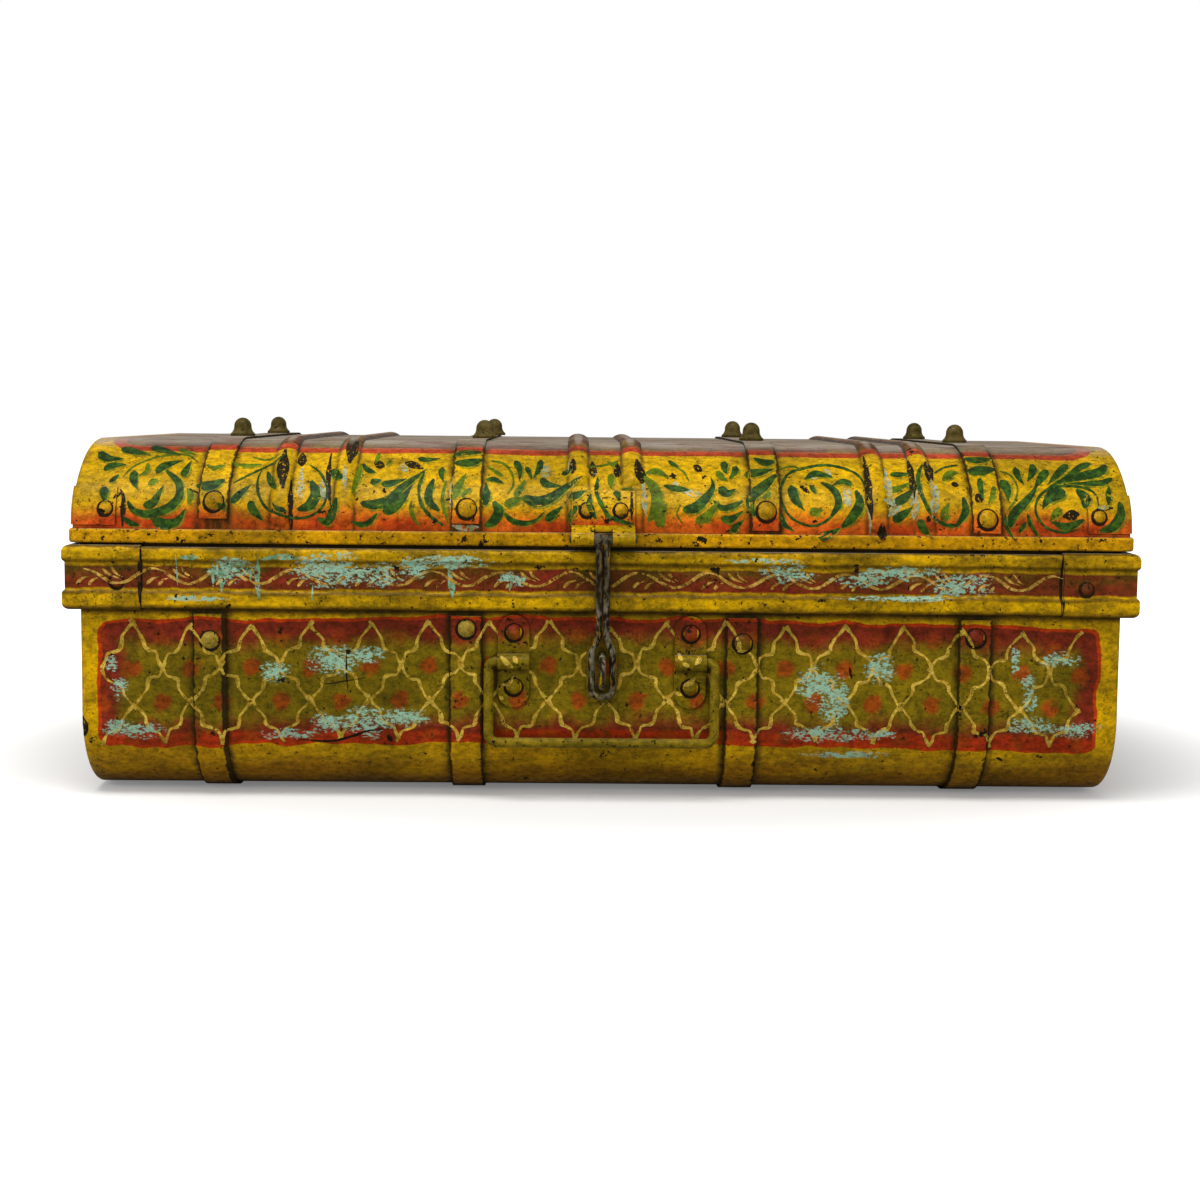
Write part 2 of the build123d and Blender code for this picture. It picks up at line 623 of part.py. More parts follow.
hinge_axis = (HINGE_Y, HINGE_Z)
knuckle_w = (HINGE_W - 2 * KNUCKLE_GAP) / 3
knuckle_step = knuckle_w + KNUCKLE_GAP
leaf_face = STRIP_FACE + HINGE_LEAF_T
with BuildPart() as leaf_lower:
    slab(
        (
            (STRIP_FACE, HINGE_Z - HINGE_LEAF_DROP),
            (leaf_face, HINGE_Z - HINGE_LEAF_DROP),
            (leaf_face, HINGE_Z - HINGE_KNUCKLE_R),
            (STRIP_FACE, HINGE_Z - HINGE_KNUCKLE_R),
        ),
        HINGE_X,
        HINGE_W,
    )
    for side in (-1, 1):
        x = HINGE_X + side * knuckle_step
        knuckle(x, knuckle_w, hinge_axis, HINGE_KNUCKLE_R)
        slab(
            (
                (STRIP_FACE, HINGE_Z - HINGE_KNUCKLE_R),
                (leaf_face, HINGE_Z - HINGE_KNUCKLE_R - HINGE_LEAF_T),
                (HINGE_Y, HINGE_Z - HINGE_KNUCKLE_R),
                (HINGE_Y, HINGE_Z),
                (STRIP_FACE, HINGE_Z - HINGE_LEAF_T),
            ),
            x,
            knuckle_w,
        )
        bore(x, knuckle_w, hinge_axis, HINGE_PIN_R + PIN_CLEARANCE)
    drill(leaf_lower_seats, RIVET_SHANK_R)
both_ends(leaf_lower.part, "hinge_leaf_lower")

# The upper leaf is riveted to the lid's curved back and cranked out over the rim to the middle knuckle.
crank_z = HINGE_Z + HINGE_KNUCKLE_R + 2 * KNUCKLE_GAP
leaf_foot_z = RIM_BOTTOM + RIM_H + LEAF_RIM_GAP
with BuildPart() as leaf_upper:
    extrude(lid_outline(HINGE_X, HINGE_LEAF_T), amount=HINGE_W / 2, both=True)
    extrude(lid_outline(HINGE_X, 0, LID_FOOT - OVERCUT), amount=HINGE_W, both=True, mode=Mode.SUBTRACT)
    split(bisect_by=Plane.XY.offset(leaf_foot_z), keep=Keep.TOP)
    split(bisect_by=Plane.XY.offset(HINGE_Z + HINGE_LEAF_REACH), keep=Keep.BOTTOM)
    split(bisect_by=Plane.XZ, keep=Keep.BOTTOM)
    slab(
        (
            (LID_D / 2, leaf_foot_z + HINGE_LEAF_T),
            (LID_D / 2, leaf_foot_z),
            (leaf_face, crank_z),
            (leaf_face + HINGE_LEAF_T, crank_z),
            (leaf_face + HINGE_LEAF_T, crank_z + HINGE_LEAF_T / 2),
            (LID_D / 2 + HINGE_LEAF_T, leaf_foot_z + HINGE_LEAF_T),
        ),
        HINGE_X,
        HINGE_W,
    )
    slab(
        (
            (leaf_face, HINGE_Z),
            (leaf_face, crank_z),
            (leaf_face + HINGE_LEAF_T, crank_z),
            (leaf_face + HINGE_LEAF_T, HINGE_Z),
        ),
        HINGE_X,
        knuckle_w,
    )
    knuckle(HINGE_X, knuckle_w, hinge_axis, HINGE_KNUCKLE_R)
    bore(HINGE_X, knuckle_w, hinge_axis, HINGE_PIN_R + PIN_CLEARANCE)
    drill(leaf_upper_seats, RIVET_SHANK_R)
both_ends(leaf_upper.part, "hinge_leaf_upper")


def headed_pin(centre, x, length, radius, head_r):
    """Hinge pin along X with a peened head at each end."""
    with BuildPart() as pin:
        knuckle(x, length, centre, radius)
        for side in (-1, 1):
            knuckle(x + side * (length + PIN_HEAD_H) / 2, PIN_HEAD_H, centre, head_r)
        rims = pin.edges().filter_by(GeomType.CIRCLE).sort_by(Axis.X)
        fillet([rims[0], rims[-1]], radius=PIN_HEAD_H / 2)
    return pin


both_ends(headed_pin(hinge_axis, HINGE_X, HINGE_W, HINGE_PIN_R, HINGE_PIN_R + PIN_HEAD_H).part, "hinge_pin")
upper_rivet = make_rivet(SMALL_RIVET_R, SMALL_RIVET_H, HINGE_LEAF_T + SHEET + CURVE_RELIEF)
rivet_set("hinge_upper_rivets", leaf_upper_seats, upper_rivet)
lower_rivet = make_rivet(SMALL_RIVET_R, SMALL_RIVET_H, HINGE_LEAF_T + BEAD_PROUD + SHEET)
rivet_set("hinge_lower_rivets", leaf_lower_seats, lower_rivet)

# ---------------------------------------------------------------- hasp and staple
hasp_axis = (HASP_PIN_Y, HASP_Z)
side_knuckle_w = (HASP_PLATE_W - HASP_KNUCKLE_W) / 2 - KNUCKLE_GAP
side_knuckle_x = HASP_PLATE_W / 2 - side_knuckle_w / 2
knuckle_bevel = HASP_KNUCKLE_R * cos(radians(45))
with BuildPart() as hasp_plate:
    extrude(lid_outline(0, HASP_PLATE_T), amount=HASP_PLATE_W / 2, both=True)
    extrude(lid_outline(0, 0, LID_FOOT - OVERCUT), amount=HASP_PLATE_W, both=True, mode=Mode.SUBTRACT)
    split(bisect_by=Plane.XY.offset(PLATE_FOOT), keep=Keep.TOP)
    split(bisect_by=Plane.XY.offset(PLATE_FOOT + HASP_PLATE_H), keep=Keep.BOTTOM)
    split(bisect_by=Plane.XZ, keep=Keep.TOP)
    for side in (-1, 1):
        x = side * side_knuckle_x
        knuckle(x, side_knuckle_w, hasp_axis, HASP_KNUCKLE_R)
        slab(
            (
                (-LID_D / 2, PLATE_FOOT),
                (-LID_D / 2, PLATE_FOOT + 2 * HASP_PLATE_T),
                (-LID_D / 2 - HASP_PLATE_T, PLATE_FOOT + 2 * HASP_PLATE_T),
                (HASP_PIN_Y, HASP_Z + HASP_KNUCKLE_R),
                (HASP_PIN_Y, HASP_Z + HASP_PIN_R),
                (HASP_PIN_Y + knuckle_bevel, HASP_Z + knuckle_bevel),
            ),
            x,
            side_knuckle_w,
        )
        bore(x, side_knuckle_w, hasp_axis, HASP_PIN_R + PIN_CLEARANCE)
    drill(hasp_plate_seats, RIVET_SHANK_R)
save(hasp_plate, "hasp_plate")
plate_rivet = make_rivet(SMALL_RIVET_R, SMALL_RIVET_H, HASP_PLATE_T + SHEET + CURVE_RELIEF)
rivet_set("hasp_plate_rivets", hasp_plate_seats, plate_rivet)
save(headed_pin(hasp_axis, 0, HASP_PLATE_W, HASP_PIN_R, HASP_PIN_R + PIN_HEAD_H / 2), "hasp_pin")

# The hasp is one rod: up from the knuckle, down a leg, round the eye and back up the other leg.
leg_x = HASP_ROD_R + HASP_LEG_GAP / 2
eye_x = HASP_EYE_W / 2 + HASP_ROD_R
shank_y = -(STRIP_FACE + HASP_COLLAR_GAP + HASP_ROD_R)
eye_y = shank_y + HASP_EYE_SET
eye_foot_z = HASP_BOTTOM + HASP_ROD_R
eye_top_z = HASP_BOTTOM + 2 * HASP_ROD_R + HASP_EYE_H
with BuildPart() as hasp:
    with BuildLine() as rod_line:
        FilletPolyline(
            (-leg_x, shank_y, HASP_Z - HASP_PIN_R - HASP_ROD_R / 2),
            (-leg_x, shank_y, COLLAR_FOOT),
            (-leg_x, eye_y, eye_top_z + HASP_EYE_W),
            (-eye_x, eye_y, eye_top_z - HASP_ROD_R),
            (-eye_x, eye_y, eye_foot_z),
            (eye_x, eye_y, eye_foot_z),
            (eye_x, eye_y, eye_top_z - HASP_ROD_R),
            (leg_x, eye_y, eye_top_z + HASP_EYE_W),
            (leg_x, shank_y, COLLAR_FOOT),
            (leg_x, shank_y, HASP_Z - HASP_PIN_R - HASP_ROD_R / 2),
            radius=HASP_BEND,
        )
    with BuildSketch(Plane(origin=rod_line.line @ 0, z_dir=(0, 0, 1))):
        Circle(HASP_ROD_R)
    sweep(path=rod_line.line)
    knuckle(0, HASP_KNUCKLE_W, hasp_axis, HASP_KNUCKLE_R)
    bore(0, HASP_KNUCKLE_W, hasp_axis, HASP_PIN_R + PIN_CLEARANCE)
save(hasp, "hasp")

staple_front_y = -(TUB_D / 2 + STAPLE_REACH - STAPLE_ROD_R)
with BuildPart() as staple:
    with BuildLine() as staple_line:
        FilletPolyline(
            (0, -TUB_D / 2 + SHEET + STAPLE_TAIL, STAPLE_Z + STAPLE_LEG_RISE),
            (0, staple_front_y, STAPLE_Z + STAPLE_LEG_RISE),
            (0, staple_front_y, STAPLE_Z - STAPLE_LEG_RISE),
            (0, -TUB_D / 2 + SHEET + STAPLE_TAIL, STAPLE_Z - STAPLE_LEG_RISE),
            radius=STAPLE_BEND,
        )
    with BuildSketch(Plane(origin=staple_line.line @ 0, z_dir=(0, -1, 0))):
        Circle(STAPLE_ROD_R)
    sweep(path=staple_line.line)
save(staple, "staple")

with BuildPart() as staple_plate:
    with BuildSketch(wall_seat(0, STAPLE_Z, 0)):
        RectangleRounded(STAPLE_PLATE_W, STAPLE_PLATE_H, STAPLE_PLATE_CORNER)
    extrude(amount=STAPLE_PLATE_T)
    drill(staple_leg_seats(), STAPLE_ROD_R)
save(staple_plate, "staple_plate")

# ---------------------------------------------------------------- bail handle
bail_y = -(TUB_D / 2 + BAIL_STAND)
bail_end_x = CLIP_X + CLIP_W / 2 - BAIL_TUCK
bail_foot_z = BAIL_PIVOT_Z - BAIL_DROP
with BuildPart() as bail:
    with BuildLine() as bail_line:
        FilletPolyline(
            (-bail_end_x, bail_y, BAIL_PIVOT_Z),
            (-BAIL_HALF, bail_y, BAIL_PIVOT_Z),
            (-BAIL_HALF, bail_y, bail_foot_z),
            (BAIL_HALF, bail_y, bail_foot_z),
            (BAIL_HALF, bail_y, BAIL_PIVOT_Z),
            (bail_end_x, bail_y, BAIL_PIVOT_Z),
            radius=(BAIL_SHOULDER, BAIL_CORNER, BAIL_CORNER, BAIL_SHOULDER),
        )
    with BuildSketch(Plane(origin=bail_line.line @ 0, z_dir=(-1, 0, 0))):
        Circle(BAIL_ROD_R)
    sweep(path=bail_line.line)
save(bail, "bail")

# Each clip is a strap bulged out over the end of the bail and riveted above and below it.
bail_axis = (bail_y, BAIL_PIVOT_Z)
eye_r = BAIL_ROD_R + CLIP_CLEARANCE
with BuildPart() as clip:
    with BuildSketch(wall_seat(CLIP_X, BAIL_PIVOT_Z, 0)):
        SlotOverall(CLIP_H, CLIP_W, rotation=90)
    extrude(amount=CLIP_T)
    knuckle(CLIP_X, CLIP_W, bail_axis, eye_r + CLIP_T)
    with BuildSketch(wall_seat(CLIP_X, BAIL_PIVOT_Z, 0)) as cheeks:
        Rectangle(CLIP_W, 2 * (eye_r + CLIP_T))
    extrude(cheeks.sketch, amount=BAIL_STAND)
    with BuildSketch(wall_seat(CLIP_X, BAIL_PIVOT_Z, 0)) as behind:
        Rectangle(CLIP_W, CLIP_H)
    extrude(behind.sketch, amount=-OVERCUT, mode=Mode.SUBTRACT)
    bore(CLIP_X, CLIP_W, bail_axis, eye_r)
    with BuildSketch(wall_seat(CLIP_X, BAIL_PIVOT_Z, 0)) as throat:
        Rectangle(CLIP_W + OVERCUT, 2 * eye_r)
    extrude(throat.sketch, amount=BAIL_STAND, mode=Mode.SUBTRACT)
    drill(clip_seats, RIVET_SHANK_R)
both_ends(clip.part, "handle_clip")
rivet_set("handle_clip_rivets", clip_seats, make_rivet(CLIP_RIVET_R, CLIP_RIVET_H, CLIP_T + SHEET))
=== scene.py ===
# %% [markdown]
# # A hand-painted tin trunk
# Travelling trunks of this kind are folded from sheet iron, strapped with riveted iron bands and painted by hand in
# oil enamel: a yellow ground, green scrollwork on the lid, a vine on the collar and a gold lattice on the tub.
# The iron comes from the CAD frame and is never reshaped here. This lesson paints it, in two ways that suit the two
# kinds of paint: the ground coats are shaders that know where they are on the trunk, and each brush stroke of the
# ornament is a thin ribbon of paint laid on the iron, so that it climbs over straps and rivets as a real stroke does.

# %% Load the iron
import math
import random
from functools import partial

import bpy
from mathutils import Matrix, Vector
from mathutils.bvhtree import BVHTree


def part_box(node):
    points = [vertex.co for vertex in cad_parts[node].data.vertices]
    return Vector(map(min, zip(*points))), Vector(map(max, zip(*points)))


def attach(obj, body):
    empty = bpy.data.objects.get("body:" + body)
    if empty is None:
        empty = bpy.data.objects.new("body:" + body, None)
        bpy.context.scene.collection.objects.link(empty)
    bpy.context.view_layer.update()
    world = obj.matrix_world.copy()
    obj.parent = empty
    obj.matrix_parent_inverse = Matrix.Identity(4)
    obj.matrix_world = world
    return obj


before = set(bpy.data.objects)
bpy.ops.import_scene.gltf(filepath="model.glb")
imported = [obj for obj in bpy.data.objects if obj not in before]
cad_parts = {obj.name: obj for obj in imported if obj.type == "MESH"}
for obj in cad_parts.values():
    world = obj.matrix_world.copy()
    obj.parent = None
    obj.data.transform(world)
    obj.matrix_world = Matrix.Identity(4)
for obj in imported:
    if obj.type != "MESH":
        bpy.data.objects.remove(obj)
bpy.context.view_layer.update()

MM = 0.001

# %% [markdown]
# ## Camera
# A studio picture of a long, low object is taken from in front and a little above, with a longish lens so that the
# ends don't flare. The camera is described by where it stands and how it is turned, and the three turns are composed
# by hand into one matrix: a little to the right, five and a half degrees down, and half a degree of tilt.

# %% Camera
CAMERA_PLACE = Vector((-20.0, -1623.1, 280.5)) * MM
CAMERA_TURN, CAMERA_DIP, CAMERA_TILT = (math.radians(a) for a in (-0.743, 5.487, 0.563))
LENS_MM = 59.5  # on a 36 mm frame

reach = math.cos(CAMERA_DIP)
ahead = Vector((-math.sin(CAMERA_TURN) * reach, math.cos(CAMERA_TURN) * reach, -math.sin(CAMERA_DIP)))
level = Vector((math.cos(CAMERA_TURN), math.sin(CAMERA_TURN), 0))
upright = level.cross(ahead)
right = level * math.cos(CAMERA_TILT) + upright * math.sin(CAMERA_TILT)
top = upright * math.cos(CAMERA_TILT) - level * math.sin(CAMERA_TILT)
camera_data = bpy.data.cameras.new("camera")
camera_data.lens = LENS_MM
camera = bpy.data.objects.new("camera", camera_data)
turn = Matrix((right, top, -ahead)).transposed()
camera.matrix_world = Matrix.Translation(CAMERA_PLACE) @ turn.to_4x4()
bpy.context.scene.collection.objects.link(camera)
bpy.context.scene.camera = camera
bpy.context.scene.view_settings.view_transform = "Standard"
print("camera", [round(v, 4) for v in camera.location], "lens", LENS_MM)

# %% [markdown]
# ## Two helpers
# Paint is chosen on a screen, so its colours are written as sRGB hex values, and one function turns them to
# the linear light that Blender reckons in. Shaders are graphs of many small nodes, and one function adds a node,
# sets its settings and fills its inputs in order, with a number, a colour or the output of another node.

# %% Colour and node helpers
def colour(hexcode):
    """Linear RGBA of an sRGB hex colour."""
    parts = [int(hexcode[i : i + 2], 16) / 255 for i in (1, 3, 5)]
    return tuple(c / 12.92 if c <= 0.04045 else ((c + 0.055) / 1.055) ** 2.4 for c in parts) + (1.0,)


def add(tree, kind, *inputs, **settings):
    """Add one shader node with its settings, and set or link its inputs in order. None leaves an input alone.

    The kind may end with the operation of a Math node, such as "Math ADD".
    """
    kind, *operation = kind.split()
    node = tree.nodes.new("ShaderNode" + kind)
    for name, value in (*settings.items(), *(("operation", word) for word in operation)):
        setattr(node, name, value)
    for socket, value in zip(node.inputs, inputs):
        if value is None:
            continue
        if isinstance(value, bpy.types.Node):
            value = value.outputs[0]
        if isinstance(value, bpy.types.NodeSocket):
            tree.links.new(value, socket)
        else:
            socket.default_value = value
    return node


print("yellow in linear light", [round(c, 3) for c in colour("#DEAB00")])

# %% [markdown]
# ## Where on the trunk?
# A painter decides by place: this is the border, that is the panel. The shader does the same from the Object
# coordinates, which stay with each piece when the lid swings. They are scaled to millimetres, so every size below
# can be checked against the trunk. The surface normal tells front from end, top from side and outside from inside.

# %% Place on the trunk
END_ON = 0.7  # a face counts as an end's when its normal runs along x by more than this


def survey(tree, middle_z):
    """Sockets that say where a point is: mm along x, y and z, which way it faces, and whether it is inside.

    A point is inside if it faces `middle_z`, a height on the trunk's middle line. None is for pieces with no inside.
    """
    put = partial(add, tree)
    at = put("TexCoord")
    mm = put("VectorMath SCALE", at.outputs["Object"], None, None, 1 / MM)
    xyz = put("SeparateXYZ", mm)
    facing = put("SeparateXYZ", at.outputs["Normal"])
    from_middle = put("VectorMath SUBTRACT", mm, (0, 0, middle_z or 0))
    outward = put("VectorMath DOT_PRODUCT", from_middle, at.outputs["Normal"]).outputs["Value"]
    inside = put("Math LESS_THAN", outward, 0.0 if middle_z else -1e6)
    turned = put("Math ABSOLUTE", facing.outputs["X"])
    return {
        "mm": mm,
        "x": xyz.outputs["X"],
        "y": xyz.outputs["Y"],
        "z": xyz.outputs["Z"],
        "up": facing.outputs["Z"],
        "end": put("Math GREATER_THAN", turned, END_ON),
        "inside": inside,
    }


def patches(tree, mm, grain, low, high, detail=6, stretch=(1, 1, 1), shift=0.0, rough=0.62):
    """Cloudy patches about `grain` mm across: 0 where the noise is under `low`, rising to 1 over `high`."""
    put = partial(add, tree)
    moved = put("Mapping", mm, (shift, shift * 1.7, shift * 0.6), None, stretch)
    cloud = put("TexNoise", moved, None, 1 / grain, detail, rough)
    return put("MapRange", cloud, low, high, 0, 1, interpolation_type="SMOOTHSTEP")


def apart(tree, first, second):
    """How far apart two places are, whichever is the greater."""
    return add(tree, "Math ABSOLUTE", add(tree, "Math SUBTRACT", first, second))


def rounded_panel(tree, across, along, middle, half, corner, wobble):
    """Distance in mm to the edge of a rounded panel, negative inside, with the unsteady edge of hand painting."""
    put = partial(add, tree)
    past = []
    for place, centre, reach in zip((across, along), middle, half):
        straight = put("Math SUBTRACT", reach, corner)
        past.append(put("Math SUBTRACT", apart(tree, place, centre), straight))
    clipped = [put("Math MAXIMUM", length, 0.0) for length in past]
    corner_off = put("VectorMath LENGTH", put("CombineXYZ", *clipped)).outputs["Value"]
    deepest = put("Math MINIMUM", put("Math MAXIMUM", *past), 0.0)
    edge = put("Math SUBTRACT", put("Math ADD", corner_off, deepest), corner)
    return put("Math ADD", edge, wobble)


def hand_wobble(tree, mm, grain, reach):
    """A slow waver of `reach` mm either way, for edges painted freehand."""
    put = partial(add, tree)
    cloud = put("TexNoise", mm, None, 1 / grain, 3, 0.5)
    return put("MapRange", cloud, 0.3, 0.7, -reach, reach)


print("place helpers ready")

# %% [markdown]
# ## Ground coats
# Each ground coat is a small function of place that gives the fresh colour, before age. The tub has a yellow border,
# ochre toward the floor, round a panel that is maroon at its margins and olive in its field, with soft red flowers,
# and a painted shadow under the collar. The collar has yellow beads above and below a maroon field, with painted
# shade along its seams. The lid is golden yellow, blushed orange-red near its rim, with a maroon panel on top inside
# a red line. All heights are mm above the floor.

# %% Ground coats
YELLOW, OCHRE, MAROON, OLIVE = colour("#DEAB00"), colour("#A26F02"), colour("#8A2E1B"), colour("#866F09")
RED, DAB_RED = colour("#BE3810"), colour("#AC430E")
# the first brown is a painted shadow under the collar; the second is the collar's dirt and the painted shade along
# its seams
SHADOW_BROWN, SOOT_AND_SHADE = colour("#4A3004"), colour("#4C3206")
LATTICE_STEP, LATTICE_X, LATTICE_ROWS = 42.3, -334.3, (128.5, 99.8, 73.5, 45.5)
PANEL_MIDDLE, PANEL_HALF, PANEL_CORNER = (-1.0, 87.1), (357.0, 45.2), 9.0
BOW, BOW_X, BOW_HALF = 4.8, 10.0, 350.0  # the hand-drawn panel sinks toward its ends by this much
END_PANEL_HALF = 190.0
OCHRE_STARTS, OCHRE_FULL = 52, 22
SHADE_STARTS, SHADE_FULL = 131, 135.5  # painted shadow under the collar
RED_BAND_TOP, RED_BAND_FULL = 53, 50
FLOWER_RADIUS, FLOWERS_LOW_HIGH, FLOWERS_BETWEEN, FAINT_FLOWERS = 6.4, (98.0, 46.5), (73.5, 73.5), (119.5,)
FIELD_LOW, FIELD_HIGH, SMOKE_STARTS, SMOKE_FULL = 151.8, 167.6, 158, 164
# painted shade along the collar's seams, darkest on the underside of its lower bead at the foot
SEAMS = ((137.0, 4.2, 0.9), (149.0, 2.4, 0.75), (171.0, 4.0, 0.7), (181.5, 2.2, 0.8))  # height, reach, strength
BLUSH_STARTS, BLUSH_FULL = 216, 200
TOP_PANEL_HALF, TOP_CORNER, TOP_LINE = (350.0, 170.0), 14.0, 9.0


def dabs(tree, along, height, phase, rows, radius):
    """Soft round dabs of a nearly dry brush, one step of the lattice apart, in rows at the given heights."""
    put = partial(add, tree)
    moved = put("Math SUBTRACT", along, LATTICE_X + phase)
    across = put("Math WRAP", moved, LATTICE_STEP / 2, -LATTICE_STEP / 2)
    nearest = [apart(tree, height, row) for row in rows]
    rise = put("Math MINIMUM", *nearest) if len(rows) > 1 else nearest[0]
    off = put("VectorMath LENGTH", put("CombineXYZ", across, rise)).outputs["Value"]
    return put("MapRange", off, radius + 1.6, radius - 2.2, 0, 0.85, interpolation_type="SMOOTHSTEP")


def tub_coat(tree, at):
    """Border and panel of the tub. The shader's place along a wall is x in front and at the back, and y on an end."""
    put, cloud = partial(add, tree), partial(patches, tree, at["mm"])
    waver = hand_wobble(tree, at["mm"], 30, 2.2)
    run = put("Mix", at["end"], None, at["x"], at["y"]).outputs[0]
    middle = put("Mix", at["end"], None, PANEL_MIDDLE[0], 0.0).outputs[0]
    reach = put("Mix", at["end"], None, PANEL_HALF[0], END_PANEL_HALF).outputs[0]
    from_middle = put("Math POWER", put("Math SUBTRACT", at["x"], BOW_X), 2.0)
    level = put("Math ADD", put("Math MULTIPLY", from_middle, BOW / BOW_HALF**2), at["z"])
    edge = rounded_panel(tree, run, level, (middle, PANEL_MIDDLE[1]), (reach, PANEL_HALF[1]), PANEL_CORNER, waver)

    streak = cloud(24, 0.35, 0.7, detail=8, stretch=(0.3, 1, 1), shift=12)
    uneven = put("Math ADD", at["z"], put("Math MULTIPLY", streak, 20.0))
    border = put("MixRGB", put("MapRange", uneven, OCHRE_STARTS, OCHRE_FULL, 0, 1), YELLOW, OCHRE)
    # painted shadow under the collar's overhang, darker toward the collar and made patchy by a cloud
    shaded_and_grimy = cloud(14, 0.3, 0.6, detail=8, stretch=(0.3, 1, 1), shift=88)
    under_collar = put("MapRange", at["z"], SHADE_STARTS, SHADE_FULL, 0, 0.95)
    collar_shadow = put("Math MULTIPLY", under_collar, put("MapRange", shaded_and_grimy, 0, 1, 0.7, 1))
    border = put("MixRGB", collar_shadow, border, SHADOW_BROWN)

    blotch = cloud(26, 0.35, 0.65, shift=40)
    depth = put("Math ADD", edge, put("Math MULTIPLY", blotch, 8.0))
    core = put("MapRange", depth, -5, -20, 0, 1, interpolation_type="SMOOTHSTEP")
    foot = put("Math ADD", level, waver)
    band = put("MapRange", foot, RED_BAND_TOP, RED_BAND_FULL, 0, 0.9, interpolation_type="SMOOTHSTEP")
    margin = put("MixRGB", band, MAROON, RED)
    field = put("MixRGB", core, margin, OLIVE)

    shaken = put("MapRange", put("TexNoise", at["mm"], None, 0.16, 3, 0.5), 0.3, 0.7, -2.2, 2.2)
    flower = put("Math ADD", run, shaken), put("Math ADD", level, shaken)
    half_step = LATTICE_STEP / 2
    field = put("MixRGB", dabs(tree, *flower, 0, FLOWERS_LOW_HIGH, FLOWER_RADIUS), field, DAB_RED)
    field = put("MixRGB", dabs(tree, *flower, half_step, FLOWERS_BETWEEN, FLOWER_RADIUS), field, DAB_RED)
    faint = put("Math MULTIPLY", dabs(tree, *flower, half_step, FAINT_FLOWERS, 6.0), 0.5)
    field = put("MixRGB", faint, field, DAB_RED)

    painted = put("Math LESS_THAN", edge, 0.0)
    panel = put("MixRGB", painted, border, field)
    line = put("MapRange", apart(tree, edge, -0.4), 1.5, 0.9, 0, 1)
    return put("MixRGB", line, panel, colour("#CC3F0C"))


def collar_coat(tree, at):
    """Yellow beads and a maroon field, smoked brown in places, with painted shade and dirt along every seam and under
    the lower bead.
    """
    put, cloud = partial(add, tree), partial(patches, tree, at["mm"])
    waver = hand_wobble(tree, at["mm"], 22, 0.9)
    height = put("Math ADD", at["z"], waver)
    over_low = put("MapRange", height, FIELD_LOW - 0.7, FIELD_LOW + 0.7, 0, 1)
    under_high = put("MapRange", height, FIELD_HIGH + 0.7, FIELD_HIGH - 0.7, 0, 1)
    field = put("Math MULTIPLY", over_low, under_high)
    smoky = cloud(18, 0.36, 0.6, stretch=(0.4, 1, 1), shift=27)
    upper = put("Math MULTIPLY", put("MapRange", height, SMOKE_STARTS, SMOKE_FULL, 0.25, 1), smoky)
    maroon = put("MixRGB", upper, MAROON, colour("#6E5012"))
    coat = put("MixRGB", field, YELLOW, maroon)
    handled = cloud(26, 0.42, 0.66, detail=9, stretch=(0.6, 1, 1), shift=59)
    dirt_and_seam_shade = put("Math MULTIPLY", handled, 0.62)
    # painted shade along each seam, over the patchy dirt of handling
    for seam, reach, strength in SEAMS:
        seam_shade = put("MapRange", apart(tree, height, seam), 0.6, reach, strength, 0)
        dirt_and_seam_shade = put("Math MAXIMUM", dirt_and_seam_shade, seam_shade)
    return put("MixRGB", dirt_and_seam_shade, coat, SOOT_AND_SHADE)


def lid_coat(tree, at):
    """Yellow sides blushed red below, and the top's maroon panel in its red line. The ends have no panel."""
    put, cloud = partial(add, tree), partial(patches, tree, at["mm"])
    waver = hand_wobble(tree, at["mm"], 34, 3.0)
    height = put("Math ADD", at["z"], waver)
    blush = put("MapRange", height, BLUSH_STARTS, BLUSH_FULL, 0, 0.98, interpolation_type="SMOOTHSTEP")
    orange_red = cloud(30, 0.4, 0.6, shift=31)
    reds = put("MixRGB", orange_red, colour("#E4641A"), colour("#BC3A10"))
    sides = put("MixRGB", blush, YELLOW, reds)
    steady = put("Math MULTIPLY", waver, 0.4)
    edge = rounded_panel(tree, at["x"], at["y"], (0, 0), TOP_PANEL_HALF, TOP_CORNER, steady)
    blotch = cloud(45, 0.4, 0.62, shift=90)
    crown = put("MixRGB", blotch, colour("#6B2A1C"), colour("#8A6A2A"))
    covered = put("Math LESS_THAN", edge, 0.0)
    coat = put("MixRGB", covered, sides, crown)
    half_line = TOP_LINE / 2
    line = put("MapRange", apart(tree, edge, half_line), half_line + 0.6, half_line - 0.6, 0, 1)
    lined = put("MixRGB", line, coat, colour("#BE4420"))
    return put("MixRGB", at["end"], lined, sides)


def plain_coat(hexcode):
    """A coat of one enamel, for small fittings."""
    return lambda tree, at: add(tree, "MixRGB", 0.0, colour(hexcode), colour(hexcode))


def over(base, hexcode, keep, cover=1.0, grain=4, stretch=(1, 1, 1), thin=None):
    """A stroke's coat: its own enamel, `thin` where the brush ran dry, worn through here and there to the ground.

    A higher `keep` leaves more of the stroke, and `cover` is how well it hides the ground where it is whole.
    """

    def coat(tree, at):
        loaded = patches(tree, at["mm"], 5, 0.42, 0.62, detail=6, shift=19)
        paint = add(tree, "MixRGB", loaded, colour(hexcode), colour(thin or hexcode))
        rubbed = patches(tree, at["mm"], grain, keep, keep + 0.05, detail=8, stretch=stretch, shift=44)
        gone = add(tree, "MapRange", rubbed, 0, 1, 1 - cover, 1)
        return add(tree, "MixRGB", gone, paint, base(tree, at))

    return coat


print("coats: tub, collar, lid")
